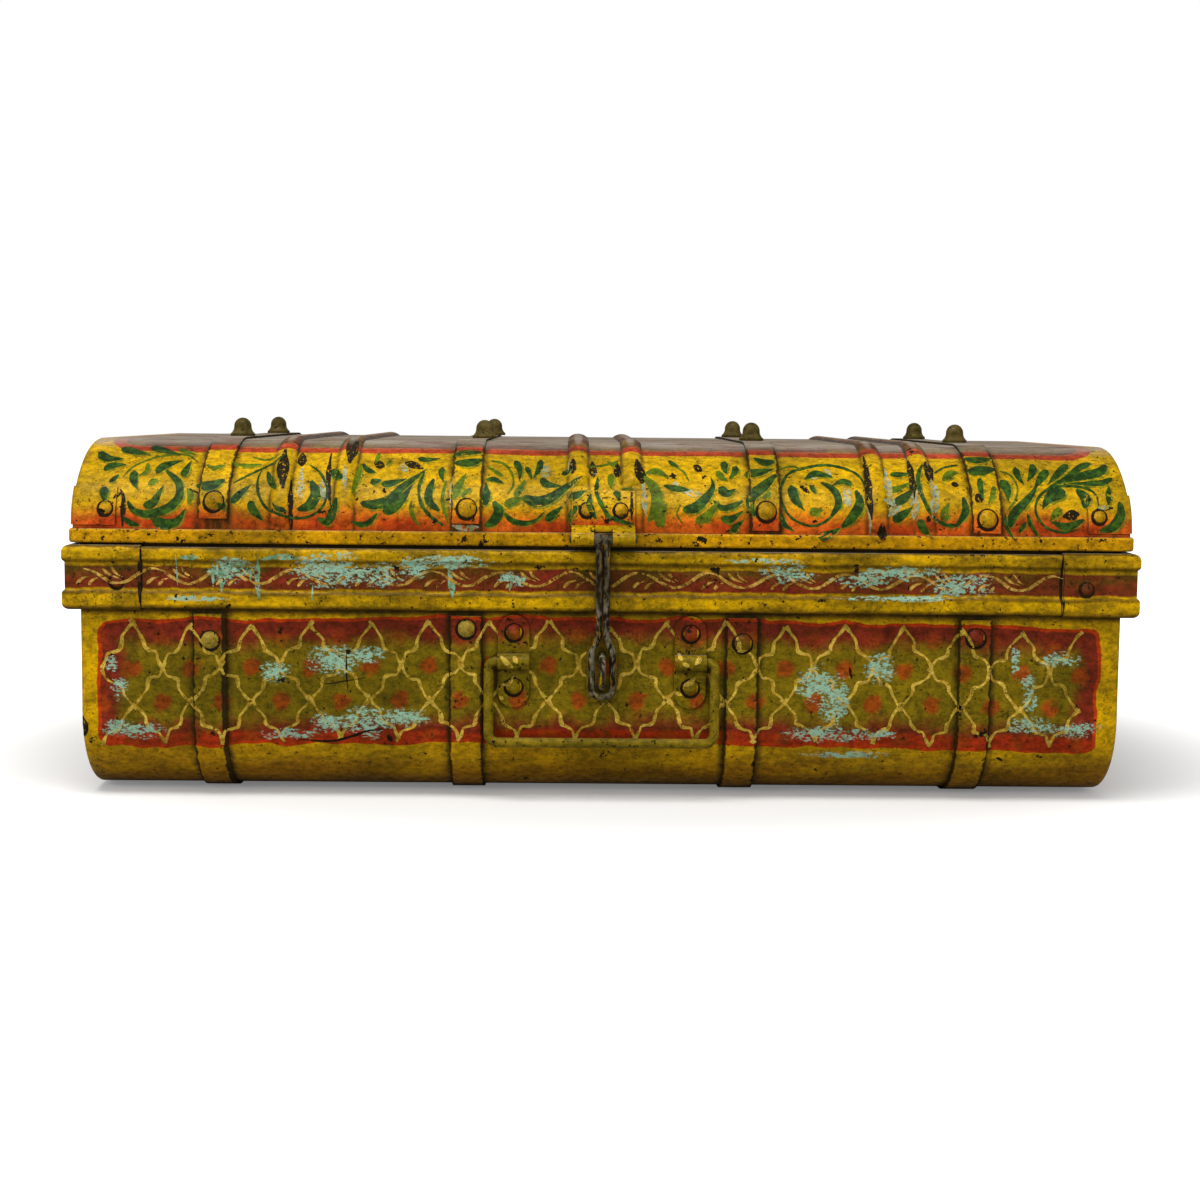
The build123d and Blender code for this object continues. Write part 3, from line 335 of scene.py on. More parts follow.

# %% [markdown]
# ## Age
# The finish is old linseed enamel on iron: brushed on by hand, so its tone varies with each load of the brush, then
# chipped, crazed, scuffed and gone dull. Age works the same everywhere, so one function lays it over any coat, from
# the bottom up: uneven tone and a dull film, an older turquoise coat showing in scuffs, painted shade with some grime
# in corners, beside straps and at the feet of flutes, fine grit, crazing, bare dark iron where paint has flaked, and
# on what faces up a grey that is dust and a painted sheen of the sky. Enamel is a dielectric with an IOR near 1.5.
# New enamel is glossy, but here most of the gloss has gone, so the specular level is low. What chips leave is rough,
# and it sits lower.
#
# Most of these are clouds of noise. Each is described by its grain in mm and by the two levels between which it goes
# from none to all, and a stretch under 1 draws it out along that axis.

# %% Aged enamel
# the second colour is grime, and also the painted shade of corners, creases and strap sides
IRON_DARK, GRIME_AND_SHADE, TURQUOISE = colour("#191405"), colour("#2A2104"), colour("#8DB69D")
# the first colour is dust, and also a painted sheen of the sky on what faces up
DUST_AND_SHEEN, BARE_INSIDE, FILM = colour("#9A9184"), colour("#4A3B2C"), colour("#A6AC7C")
TUB_SCUFFS = (  # where the older coat shows: x, z and half sizes in mm
    (-190, 101, 20, 10), (-167, 105, 13, 6), (-222, 47, 23, 4), (-197, 56, 11, 8), (-168, 57, 18, 11),
    (-140, 60, 18, 6), (-349, 98, 4, 7), (-344, 80, 6, 8), (-346, 51, 10, 6), (-326, 49, 18, 6),
    (-233, 92, 11, 8), (158, 86, 18, 12), (167, 74, 11, 17), (158, 50, 27, 6), (194, 50, 18, 4),
    (179, 34, 36, 3), (199, 98, 10, 11), (296, 104, 3, 11), (307, 82, 6, 14), (328, 105, 13, 6),
    (310, 58, 18, 6), (342, 55, 17, 6),
)
COLLAR_SCUFFS = (
    (-261, 165, 17, 9), (-191, 166, 26, 12), (-159, 164, 21, 9), (-104, 172, 28, 5), (-133, 168, 11, 7),
    (-64, 160, 9, 6), (132, 167, 18, 7), (114, 175, 28, 2), (182, 161, 20, 4), (214, 167, 30, 5),
    (254, 159, 21, 9), (211, 149, 43, 2), (-284, 145, 21, 2),
)
INSIDE_TUB, INSIDE_LID = 110.0, 150.0
# middles of the lid's flutes, and how far out their feet lie, where painted shade and dirt gather
FLUTES, FLUTE_FOOT = (-228.5, -183.5, -18.0, 20.4, 194.4, 228.0), 7.5


def scuffed(tree, at, spots):
    """How much of the older coat shows: most in the middle of each spot, torn into streaks at its edge."""
    put, cloud = partial(add, tree), partial(patches, tree, at["mm"])
    flat = put("CombineXYZ", at["x"], 0.0, at["z"])
    nearest = 9.0  # times a spot's own size: far from all of them
    for x, z, half_x, half_z in spots:
        local = put("Mapping", flat, (-x / half_x, 0, -z / half_z), None, (1 / half_x, 1, 1 / half_z))
        spread = put("VectorMath LENGTH", local).outputs["Value"]
        nearest = put("Math MINIMUM", nearest, spread)
    worn = put("MapRange", nearest, 0.0, 2.1, 1.0, 0)
    broad = cloud(7, 0.28, 0.7, detail=6, stretch=(0.35, 1, 1), shift=21)
    fine = cloud(1.9, 0.36, 0.62, detail=6, stretch=(0.55, 1, 1), shift=77, rough=0.72)
    torn = put("Mix", 0.6, None, broad, fine).outputs[0]
    amount = put("Math MULTIPLY", worn, torn)
    return put("MapRange", amount, 0.35, 0.43, 0, 0.92)


def aged_enamel(
    name, coat, middle_z=None, chips=0.5, dust_and_sheen=1.0, scuffs=(), roughness=0.4,
    band=None, beside=(), flutes=(), corner_shaded=True,
):
    """Material of old enamel over iron. `coat` gives the fresh colour, and `chips` how much has flaked.

    `band` is the place of a strap whose own edges are dark: worn to iron, and painted shadow where it stands off.
    `beside` holds the straps that lie on this piece, and `flutes` the middles of its pressed flutes: painted shade
    and dirt lie beside both. A stroke of paint gets no painted shade of corners.
    """
    material = bpy.data.materials.new(name)
    material.use_nodes = True
    tree = material.node_tree
    tree.nodes.clear()
    at = survey(tree, middle_z)
    put, cloud = partial(add, tree), partial(patches, tree, at["mm"])
    fresh = coat(tree, at)

    tone = cloud(4.5, 0.32, 0.66, detail=9, stretch=(0.75, 1, 1), shift=3, rough=0.74)
    filmed = put("MixRGB", 1.0, fresh, FILM, blend_type="MULTIPLY")
    toned = put("MixRGB", tone, filmed, fresh)
    broad = cloud(60, 0.4, 0.64, detail=8, shift=17)
    dulled = put("MixRGB", 1.0, toned, FILM, blend_type="MULTIPLY")
    toned = put("MixRGB", put("Math MULTIPLY", broad, 0.6), toned, dulled)
    if scuffs:
        toned = put("MixRGB", scuffed(tree, at, scuffs), toned, TURQUOISE)

    # painted shade: an ambient occlusion node darkens corners and recesses
    corner_shade = 0.0
    if corner_shaded:
        corner = put("AmbientOcclusion", None, 0.007, samples=8)
        corner_shade = put("MapRange", corner.outputs["AO"], 0.25, 0.95, 0.88, 0, interpolation_type="SMOOTHSTEP")
    # painted shade with patchy dirt beside each strap and at each flute's feet
    crease_patches = cloud(6, 0.2, 0.6, detail=6, stretch=(1, 1, 0.4), shift=93)
    creases = [(apart(tree, at["x"], middle), half + 0.4, half + 5.5, 0.95) for middle, half, _, _ in beside]
    for middle in flutes:
        creases.append((apart(tree, apart(tree, at["x"], middle), FLUTE_FOOT), 0.3, 2.6, 0.8))
    for off, full, clean, strength in creases:
        near = put("Math MULTIPLY", put("MapRange", off, full, clean, strength, 0), crease_patches)
        corner_shade = put("Math MAXIMUM", corner_shade, near)
    dirt_and_shade = corner_shade
    for spread, strength in (
        (cloud(20, 0.5, 0.78, detail=10, stretch=(0.4, 1, 1), shift=71), 0.6),  # smears
        (cloud(2.2, 0.62, 0.68, detail=4, shift=14), 0.5),  # specks
        (cloud(1.3, 0.5, 0.66, detail=3, stretch=(0.6, 1, 1), shift=52), 0.34),  # grit
    ):
        dirt_and_shade = put("Math MAXIMUM", dirt_and_shade, put("Math MULTIPLY", spread, strength))
    # dirt, and the painted shade above, darken the coat
    shaded_and_grimy = put("MixRGB", dirt_and_shade, toned, GRIME_AND_SHADE)

    swirl = put("TexNoise", at["mm"], None, 0.3, 4, 0.6).outputs["Color"]
    push = put("VectorMath SCALE", swirl, None, None, 7.0)
    bent = put("VectorMath ADD", at["mm"], push)
    cells = put("TexVoronoi", bent, None, 0.24, feature="DISTANCE_TO_EDGE")
    craze_here = cloud(16, 0.56, 0.66, shift=33)
    craze = put("Math MULTIPLY", put("MapRange", cells, 0.03, 0.09, 0.6, 0), craze_here)
    crazed = put("MixRGB", craze, shaded_and_grimy, IRON_DARK)

    few = cloud(3.4, 0.67 - 0.06 * chips, 0.69 - 0.06 * chips, detail=8, shift=11)
    large = cloud(12, 0.7 - 0.06 * chips, 0.715 - 0.06 * chips, detail=10, shift=8)
    flaked = put("Math MAXIMUM", few, large)
    # dark strap edges: paint worn to iron, and partly a painted shadow of the gap where the strap stands off
    if band:
        middle, half, left_dark_edge, right_dark_edge = band
        across = put("Math SUBTRACT", at["x"], middle)
        frayed = put("Math ADD", across, hand_wobble(tree, at["mm"], 5, 0.8))
        right = put("MapRange", frayed, half - right_dark_edge, half - right_dark_edge + 0.7, 0, 0.92)
        left = put("MapRange", frayed, left_dark_edge - half, left_dark_edge - half - 0.7, 0, 0.92)
        flaked = put("Math MAXIMUM", flaked, put("Math MAXIMUM", left, right))
    chipped = put("MixRGB", flaked, crazed, IRON_DARK)

    # grey on what faces up: dust, and a painted sheen of the sky on the top
    up_facing = put("MapRange", at["up"], 0.935, 0.985, 0, 0.9 * dust_and_sheen)
    layer = cloud(11, 0.2, 0.66, detail=10, stretch=(0.3, 1, 1), shift=62, rough=0.74)
    soot = cloud(30, 0.4, 0.64, detail=9, stretch=(0.5, 1, 1), shift=48)
    dust_and_sheen_grey = put("MixRGB", put("Math MULTIPLY", soot, 0.6), DUST_AND_SHEEN, colour("#6E6250"))
    dust_and_sheen_coat = put("MixRGB", put("Math MULTIPLY", up_facing, layer), chipped, dust_and_sheen_grey)
    inner_cloud = cloud(22, 0.35, 0.7, shift=5)
    inner = put("MixRGB", inner_cloud, BARE_INSIDE, colour("#2B1F16"))
    final = put("MixRGB", at["inside"], dust_and_sheen_coat, inner)

    rough_tone = put("MapRange", tone, 0, 1, roughness + 0.12, roughness - 0.06)
    rough_chip = put("Math ADD", put("Math MULTIPLY", flaked, 0.3), rough_tone)
    rough = put("Math ADD", rough_chip, put("Math MULTIPLY", up_facing, 0.3))

    brush_marks = put("TexNoise", put("Mapping", at["mm"], None, None, (0.12, 1, 1)), None, 1.1, 3, 0.6)
    dents = put("TexNoise", at["mm"], None, 0.02, 3, 0.5)
    height = 0.0
    for relief, depth in ((brush_marks, 0.05), (dents, 1.2), (flaked, -0.16), (craze, -0.1)):  # mm
        height = put("Math ADD", put("Math MULTIPLY", relief, depth), height)
    bump = put("Bump", 0.8, MM, None, height)

    surface = put("BsdfPrincipled", final)
    surface.inputs["IOR"].default_value = 1.5
    surface.inputs["Specular IOR Level"].default_value = 0.07
    tree.links.new(rough.outputs[0], surface.inputs["Roughness"])
    tree.links.new(bump.outputs[0], surface.inputs["Normal"])
    put("OutputMaterial", surface)
    return material


print("aged enamel ready,", len(TUB_SCUFFS) + len(COLLAR_SCUFFS), "scuffs")

# %% [markdown]
# ## Give every iron piece its coat
# The collar, lid and tub each carry one ground coat across all their pieces: a painter doesn't stop at a strap or a
# rivet. A strap only differs by its edges, which are dark: worn to iron, and partly a painted shadow of the gap under
# the edge, widest on the first tub strap's right, so each gets its own middle line. Small fittings have a plain coat,
# and the hasp is handled so much that it is black iron with a little yellow left.

# %% Finish the iron pieces
def dress(node_name, material):
    """Give a piece its one material, smooth where it is bent and sharp at its cut edges."""
    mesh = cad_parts[node_name].data
    mesh.materials.clear()
    mesh.materials.append(material)
    mesh.shade_smooth()
    mesh.set_sharp_from_angle(angle=math.radians(32))


def band_of(node_name, left_dark_edge=1.7, right_dark_edge=1.7):
    """Middle and half width of a strap in mm, and how wide its dark edges are: worn iron and painted shadow."""
    low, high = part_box(node_name)
    return ((low.x + high.x) / 2 / MM, (high.x - low.x) / 2 / MM, left_dark_edge, right_dark_edge)


TUB_STRAPS, LID_STRAPS = ([band_of(f"{body}_strap_{n}") for n in (1, 2, 3, 4)] for body in ("tub", "lid"))
PLATE_FOLD, GILT_RIVETS_END = 199.0, -50.0  # a height, and a place along x


def hasp_coat(tree, at):
    """Yellow that handling has worn down to black iron in long runs, with grey where the iron is polished."""
    put, cloud = partial(add, tree), partial(patches, tree, at["mm"])
    worn = cloud(6, 0.34, 0.42, detail=8, stretch=(1, 1, 0.25), shift=15)
    polished = cloud(3.5, 0.44, 0.56, detail=9, stretch=(1, 1, 0.35), shift=36)
    low = put("MapRange", at["z"], 150, 110, 0.55, 1)  # the lower end is handled most
    bare = put("MixRGB", put("Math MULTIPLY", polished, low), colour("#20160F"), colour("#8E8274"))
    return put("MixRGB", worn, colour("#C08E14"), bare)


def hasp_plate_coat(tree, at):
    """The lid's coat carries on over the hasp plate, as far as the fold that hooks over the rim."""
    flange = add(tree, "Math LESS_THAN", at["z"], PLATE_FOLD)
    return add(tree, "MixRGB", flange, lid_coat(tree, at), YELLOW)


def rivet_coat(tree, at):
    """The two left straps' rivets are touched up in gold. The others carry the tub's own coat."""
    left = add(tree, "Math LESS_THAN", at["x"], GILT_RIVETS_END)
    return add(tree, "MixRGB", left, tub_coat(tree, at), colour("#B0923A"))


tub_enamel = aged_enamel("tub_enamel", tub_coat, INSIDE_TUB, scuffs=TUB_SCUFFS, beside=TUB_STRAPS)
collar_enamel = aged_enamel("collar_enamel", collar_coat, INSIDE_TUB, chips=0.7, scuffs=COLLAR_SCUFFS)
lid_enamel = aged_enamel("lid_enamel", lid_coat, INSIDE_LID, chips=0.6, beside=LID_STRAPS, flutes=FLUTES)
hasp_plate_enamel = aged_enamel("hasp_plate_enamel", hasp_plate_coat, INSIDE_LID, chips=1.3)
rim_enamel = aged_enamel("rim_enamel", plain_coat("#DA9C02"), INSIDE_LID, chips=1.0)
stud_bronze = aged_enamel("stud_bronze_paint", plain_coat("#5F5026"), chips=0.9, dust_and_sheen=0.3, roughness=0.34)
hasp_iron = aged_enamel("hasp_worn_iron", hasp_coat, chips=0.4, dust_and_sheen=0.1, roughness=0.34)
bail_paint = aged_enamel("bail_olive_paint", plain_coat("#8A7212"), chips=0.9, dust_and_sheen=0.2)
clip_paint = aged_enamel("clip_paint", tub_coat, chips=0.9, dust_and_sheen=0.2)
hinge_iron = aged_enamel("hinge_worn_paint", plain_coat("#A47C14"), chips=1.3, dust_and_sheen=0.3)
lid_rivet = aged_enamel("lid_rivet_paint", plain_coat("#C8950E"), chips=0.9)
tub_rivet = aged_enamel("tub_rivet_paint", rivet_coat, chips=0.9)
collar_rivet = aged_enamel("collar_rivet_paint", plain_coat("#7C3A1C"), chips=1.0)

FINISHES = (  # the first prefix that fits a piece's name decides
    ("tub_strap_rivets", tub_rivet), ("lid_strap_rivets", lid_rivet), ("lid_corner_rivets", lid_rivet),
    ("hasp_plate_rivets", lid_rivet), ("collar_rivets", collar_rivet), ("lid_studs", stud_bronze),
    ("lid_rim", rim_enamel), ("hasp_plate", hasp_plate_enamel), ("hasp", hasp_iron), ("staple_plate", clip_paint),
    ("staple", hasp_iron), ("bail", bail_paint), ("handle_clip", clip_paint), ("hinge", hinge_iron),
    ("collar", collar_enamel), ("tub", tub_enamel), ("lid", lid_enamel),
)
for name in sorted(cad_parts):
    body, _, rest = name.partition("_")
    if rest.startswith("strap_") and rest != "strap_rivets":
        # the first tub strap's right edge has a wider painted shadow, where the strap bows off the tub
        wear = (1.4, 3.6) if name == "tub_strap_1" else (1.7, 1.7)
        coat = tub_coat if body == "tub" else lid_coat
        dress(name, aged_enamel(name + "_enamel", coat, chips=0.7, band=band_of(name, *wear)))
    else:
        dress(name, next(material for prefix, material in FINISHES if name.startswith(prefix)))
print("dressed", len(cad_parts), "iron pieces")

# %% [markdown]
# ## A stroke of the brush
# A loaded brush leaves a ribbon that swells and tapers. Each stroke is drawn on a flat map of the surface in mm, cut
# into short steps, and dropped onto the iron by casting rays against the pieces that carry it. It is then lifted by
# the thickness of paint. Strokes of one colour share one mesh.

# %% Strokes laid on iron
PAINT_LIFT, NEXT_LIFT = 0.14, 0.012  # mm, so that strokes that cross don't share a surface
STEP, BROAD, THINNEST, UNDER_FROM, LIFTS = 1.6, 4, 0.18, 2.4, 7


def eased(t, least, slope):
    """1 along most of a stroke, and less at both its ends."""
    return min(1.0, least + slope * t, least + slope * (1 - t))


FULLNESS = {  # of a stroke's full width, at a share t of the way along it, with the hand's unevenness by place
    "leaf": lambda t, spot: math.sin(math.pi * min(1, t * 0.92 + 0.04)) ** 0.75,
    "comma": lambda t, spot: math.sin(math.pi * t**0.55) ** 0.8 if t > 0 else 0.0,
    "crescent": lambda t, spot: math.sin(math.pi * min(1, t * 0.94 + 0.03)) ** 0.6,
    "ogee": lambda t, spot: (0.8 + 0.2 * math.cos(4 * math.pi * t)) * (0.88 + 0.12 * math.sin(1.3 * spot.x)),
    # a ring is thickest on one side: a painted shadow of the rivet head
    "ring": lambda t, spot: 0.66 + 0.34 * math.sin(-2 * math.pi * t - 0.6) + 0.12 * math.sin(2.1 * spot.x),
    "worn": lambda t, spot: (0.86 + 0.14 * math.sin(0.4 * spot.x + 0.45 * spot.y)) * eased(t, 0.2, 2.6),
    "line": lambda t, spot: eased(t, 0.35, 6) * (0.85 + 0.15 * math.sin(9 * t + spot.x)),
}


def trees_for(names):
    """One search tree over several iron pieces."""
    points, faces = [], []
    for name in names:
        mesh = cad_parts[name].data
        start = len(points)
        points += [v.co / MM for v in mesh.vertices]
        faces += [[start + i for i in p.vertices] for p in mesh.polygons]
    return BVHTree.FromPolygons(points, faces)


def smooth_path(points, closed=False):
    """Points along a Catmull-Rom curve through the given ones, about a step apart."""
    pts = [Vector(p) for p in points]
    if len(pts) == 2:
        pts = [pts[0], (pts[0] + pts[1]) / 2, pts[1]]
    ends = [pts[-1], *pts, pts[0], pts[1]] if closed else [2 * pts[0] - pts[1], *pts, 2 * pts[-1] - pts[-2]]
    path = []
    for a, b, c, d in zip(ends, ends[1:], ends[2:], ends[3:]):
        count = max(2, math.ceil((c - b).length / STEP))
        square, cube = 2 * a - 5 * b + 4 * c - d, 3 * b - a - 3 * c + d
        for t in (i / count for i in range(count)):
            path.append(0.5 * ((2 * b) + (c - a) * t + square * t * t + cube * t**3))
    path.append(ends[-2])
    return path


class Brush:
    """Collects strokes of one colour on one surface. `lay` turns a map point into a place and a normal."""

    def __init__(self, name, lay, lift=PAINT_LIFT):
        self.name, self.lay, self.lift, self.points, self.faces = name, lay, lift, [], []
        self.count = 0

    def stroke(self, points, width, shape="leaf", closed=False):
        """Lay one ribbon. Where a ray misses the iron or lands far off, the ribbon has a gap."""
        path = smooth_path(points, closed)
        total = len(path) - 1
        across = (-1, -0.5, 0, 0.5, 1) if width > BROAD else (-1, 0, 1)  # a broad stroke must bend over a flute
        self.count += 1
        lift = self.lift + NEXT_LIFT * (self.count % LIFTS)
        rows = []
        for i, spot in enumerate(path):
            way = (path[min(i + 1, total)] - path[max(i - 1, 0)]).normalized()
            side = Vector((-way.y, way.x))
            half = max(THINNEST, width / 2 * FULLNESS[shape](i / total, spot))
            rows.append([self.lay(spot + side * half * offset) for offset in across])
        for first, second in zip(rows, rows[1:]):
            for a, b in zip(range(len(across)), range(1, len(across))):
                corners = (first[a], first[b], second[b], second[a])
                if any(c is None for c in corners):
                    continue
                spread = max((corners[i][0] - corners[j][0]).length for i in range(4) for j in range(i))
                if spread > 4 * STEP + width:
                    continue
                start = len(self.points)
                self.points += [place + facing * lift for place, facing in corners]
                self.faces.append((start, start + 1, start + 2, start + 3))

    def finish(self, body, material):
        """Make the strokes one welded mesh that rides on a body and has a slot's paint."""
        mesh = bpy.data.meshes.new(self.name)
        mesh.from_pydata([p * MM for p in self.points], [], self.faces)
        piece = bpy.data.objects.new(self.name, mesh)
        bpy.context.scene.collection.objects.link(piece)
        mesh.materials.append(material)
        weld = piece.modifiers.new("weld", "WELD")
        weld.merge_threshold = 0.00001
        mesh.validate()
        mesh.shade_smooth()
        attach(piece, body)
        print(self.name, len(self.faces), "faces")


def play(brush, score, under=None, fat=1.0):
    """Lay every stroke of a score. A line of it is a shape, a width and the points of its middle.

    `under` is a brush for the first, lighter pass that shows beside each broad stroke, and `fat` widens every stroke.
    """
    for line in score.strip().splitlines():
        shape, width, *points = line.split()
        middle, broad = [tuple(map(float, point.split(","))) for point in points], float(width) * fat
        brush.stroke(middle, broad, shape)
        if under and broad > UNDER_FROM:
            under.stroke([(x + 1.0, z - 0.8) for x, z in middle], broad * 1.15, shape)


def stroke_enamel(name, base, hexcode, keep, chips=0.5, scuffs=(), **brushed):
    """Enamel of strokes on a ground coat. They lie open on top of it, so they get no painted shade of corners."""
    return aged_enamel(name, over(base, hexcode, keep, **brushed), chips=chips, scuffs=scuffs, corner_shaded=False)


FRONT_AND_BACK, ENDS = ((-1, "front"), (1, "back")), ((-1, "left"), (1, "right"))
names = sorted(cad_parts)
on_lid = [n for n in names if n.startswith("lid_") and n != "lid_studs"]
on_lid += [n for n in names if n.startswith(("hasp_plate", "hinge_leaf_upper", "hinge_upper"))]
tub_iron = trees_for([n for n in names if n.startswith("tub_")])
clip_iron = trees_for([n for n in names if n.startswith("handle_clip")])
collar_iron = trees_for([n for n in names if n.startswith("collar_")])
lid_iron = trees_for(on_lid)
print("search trees ready")

# %% [markdown]
# ## Maps of the surfaces
# Tub and collar are nearly flat in front, so their map is simply x and z, with rays cast straight in. The lid is a
# curve, and its map is x and the height where its section is met, cast along the curve's own normal. The section is
# two arcs that run into each other: a tight one over the eaves and a wide one over the top. The back and the ends use
# the same maps turned round, so that one motif serves on every side.

# %% Maps
LID_SPRING, LID_RISE, LID_RUN, LID_HALF_DEPTH = 194.6, 61.5, 85.0, 222.5
TIGHT = LID_RISE**2 / LID_RUN  # radius of each arc, and the angle at which the wide one takes over
WIDE = ((LID_RUN - TIGHT) ** 2 + LID_RISE**2 - TIGHT**2) / (2 * (LID_RISE - TIGHT))
CHANGE = math.atan2(WIDE - LID_RISE, LID_RUN - TIGHT)
FAR_X, FAR_Y, ABOVE_LID = 450, 300, 30  # rays start out here
GRAZING = 0.05  # a face that a ray only grazes takes no paint


def flat_map(iron, side):
    """Map of a wall: x and z on the front (-1) or back (1), mirrored on the back."""

    def lay(spot):
        across = spot.x if side < 0 else -spot.x
        hit, facing, _, _ = iron.ray_cast(Vector((across, side * FAR_Y, spot.y)), Vector((0, -side, 0)))
        return None if hit is None or abs(facing.y) < GRAZING else (hit, facing)

    return lay


def end_map(iron, side):
    """Map of an end: y and z, seen from outside."""

    def lay(spot):
        hit, facing, _, _ = iron.ray_cast(Vector((side * FAR_X, side * spot.x, spot.y)), Vector((-side, 0, 0)))
        return None if hit is None or abs(facing.x) < GRAZING else (hit, facing)

    return lay


def lid_map(iron, side):
    """Map of the curved lid: x, and the height at which its section of two arcs is met, in front or at the back."""

    def lay(spot):
        across = spot.x if side < 0 else -spot.x
        climb = math.asin(max(0.0, min(1.0, (spot.y - LID_SPRING) / TIGHT)))
        inset, low, radius = TIGHT, LID_SPRING, TIGHT
        if climb > CHANGE:
            inset, low, radius = LID_RUN, LID_SPRING + LID_RISE - WIDE, WIDE
            climb = math.asin(min(1.0, (spot.y - low) / WIDE))
        out = Vector((0, side * math.cos(climb), math.sin(climb)))
        centre = Vector((across, side * (LID_HALF_DEPTH - inset), min(spot.y, LID_SPRING) if climb == 0 else low))
        hit, facing, _, _ = iron.ray_cast(centre + out * (radius + ABOVE_LID), -out)
        return None if hit is None else (hit, facing if facing.dot(out) > 0 else -facing)

    return lay


print("maps ready")

# %% [markdown]
# ## Gold lattice on the tub
# The panel is crossed by a half-drop lattice of ogees. Each side of an ogee leaves its crossing steeply, hooks
# outward to a small cusp half way, and swings in to the next crossing. It is painted fast with a flat brush, so it
# swells and thins, misses its crossing by a little, and no two are alike. The orange-brown flowers between them are
# in the ground coat. Gold is a pale yellow enamel here, thinner and browner where the brush ran dry.

# %% Lattice
SHOULDER = (  # shares of the way across and up to the next crossing
    (-0.03, -0.05), (0.15, 0.12), (0.36, 0.33), (0.41, 0.46), (0.45, 0.6), (0.62, 0.66), (0.82, 0.72), (0.92, 0.86),
    (1.03, 1.05),
)
OGEE_WIDTH = 3.3
rng = random.Random(7)


def ogee(brush, start, end, turned):
    """One side of an ogee, from a crossing to the next, never twice the same. Every second row is turned round."""
    a, b = Vector(start), Vector(end)
    run = b - a
    shaken = lambda reach: rng.uniform(-reach, reach)
    lean = shaken(0.06)
    knots = [(1 - u, 1 - v) for u, v in reversed(SHOULDER)] if turned else SHOULDER
    points = [(a.x + run.x * (u + lean) + shaken(0.7), a.y + run.y * (v + lean) + shaken(0.8)) for u, v in knots]
    brush.stroke(points, OGEE_WIDTH + shaken(0.5), "ogee")


def lattice(gold, reach, sunk=None):
    """The net, `reach` either way. Its rows sink with the panel, or by a fixed length on the trunk's ends."""
    columns = int(2 * reach / LATTICE_STEP) + 2
    half = LATTICE_STEP / 2
    first = LATTICE_X + LATTICE_STEP * round((-reach - LATTICE_X) / LATTICE_STEP)
    crossing = {}
    for k in range(-1, columns + 1):
        for row, z in enumerate(LATTICE_ROWS):
            x = first + k * LATTICE_STEP + (half if row % 2 else 0)
            low = BOW * ((x - BOW_X) / BOW_HALF) ** 2 if sunk is None else sunk
            crossing[k, row] = (x + rng.uniform(-1.2, 1.2), z - low + rng.uniform(-1.8, 1.8))
    for k in range(columns):
        for row in range(len(LATTICE_ROWS) - 1):
            for below in (k, k + 1) if row % 2 else (k - 1, k):
                a, b = crossing[k, row], crossing[below, row + 1]
                if all(abs(x) < reach for x, _ in (a, b)):
                    ogee(gold, a, b, row % 2 == 1)


def paint_round(label, iron, long_walls, ends, material):
    """Paint all four walls of the tub's body, front and back with one painter and the ends with another."""
    for chart, sides, paint in ((flat_map, FRONT_AND_BACK, long_walls), (end_map, ENDS, ends)):
        for side, where in sides:
            brush = Brush(f"{label}_{where}", chart(iron, side))
            paint(brush)
            brush.finish("tub", material)


gold_on_tub = stroke_enamel("gold_stroke_tub", tub_coat, "#E4BE50", 0.6, scuffs=TUB_SCUFFS, thin="#C29630")
broad_net, end_net = partial(lattice, reach=PANEL_HALF[0]), partial(lattice, reach=188, sunk=5.6)
paint_round("lattice", tub_iron, broad_net, end_net, gold_on_tub)

# %% [markdown]
# The painter's brush didn't stop at the handle's clips either: a few of its gold marks lie on them. Where the tub was
# knocked, the paint has cracked to the iron in thin dark lines.

# %% Marks on the clips, and cracks
CLIP_MARKS = """
leaf 3.6 -72,106 -68,102 -63,98
leaf 3.6 -63,106 -60,101
leaf 2.9 -71,85 -67,85 -62,91
leaf 2.9 -73,76 -70,74
leaf 3.2 54,108 57,104
leaf 3.2 57,102 62,100
leaf 3.6 66,101 71,107
leaf 3.6 58,85 63,87 67,91
leaf 2.9 52,80 58,78
"""
CRACKS = """
worn 1.2 -182,108 -182,92 -181,79
worn 0.9 -203,89 -197,84 -183,86 -170,88
worn 2.2 -216,43 -194,42 -178,46 -167,50 -157,51
worn 4.3 -153,47 -150,42
worn 5.8 -370,59 -369,49 -370,44
worn 2.2 177,99 179,90
worn 2.9 315,35 319,33
worn 2.9 286,33 291,30
"""
crack_brown = stroke_enamel("cracked_paint", tub_coat, "#1E150A", 0.58, chips=1.0, grain=3)
for name, iron, score, material, slot in (
    ("clip_marks", clip_iron, CLIP_MARKS, gold_on_tub, "handle_paint"),
    ("tub_cracks", tub_iron, CRACKS, crack_brown, "tub_enamel"),
):
    brush = Brush(name, flat_map(iron, -1))
    play(brush, score)
    brush.finish("tub", material)

# %% [markdown]
# ## Vine on the collar
# A pale gold vine runs in long waves along the maroon field. Two small commas fill each hollow above it, and two more
# rise under each crest. Down the front, drips of an older turquoise coat have run out of the scuffs.

# %% Vine
VINE_WAVE, VINE_MIDDLE, VINE_RISE = 49.0, 160.6, 5.2


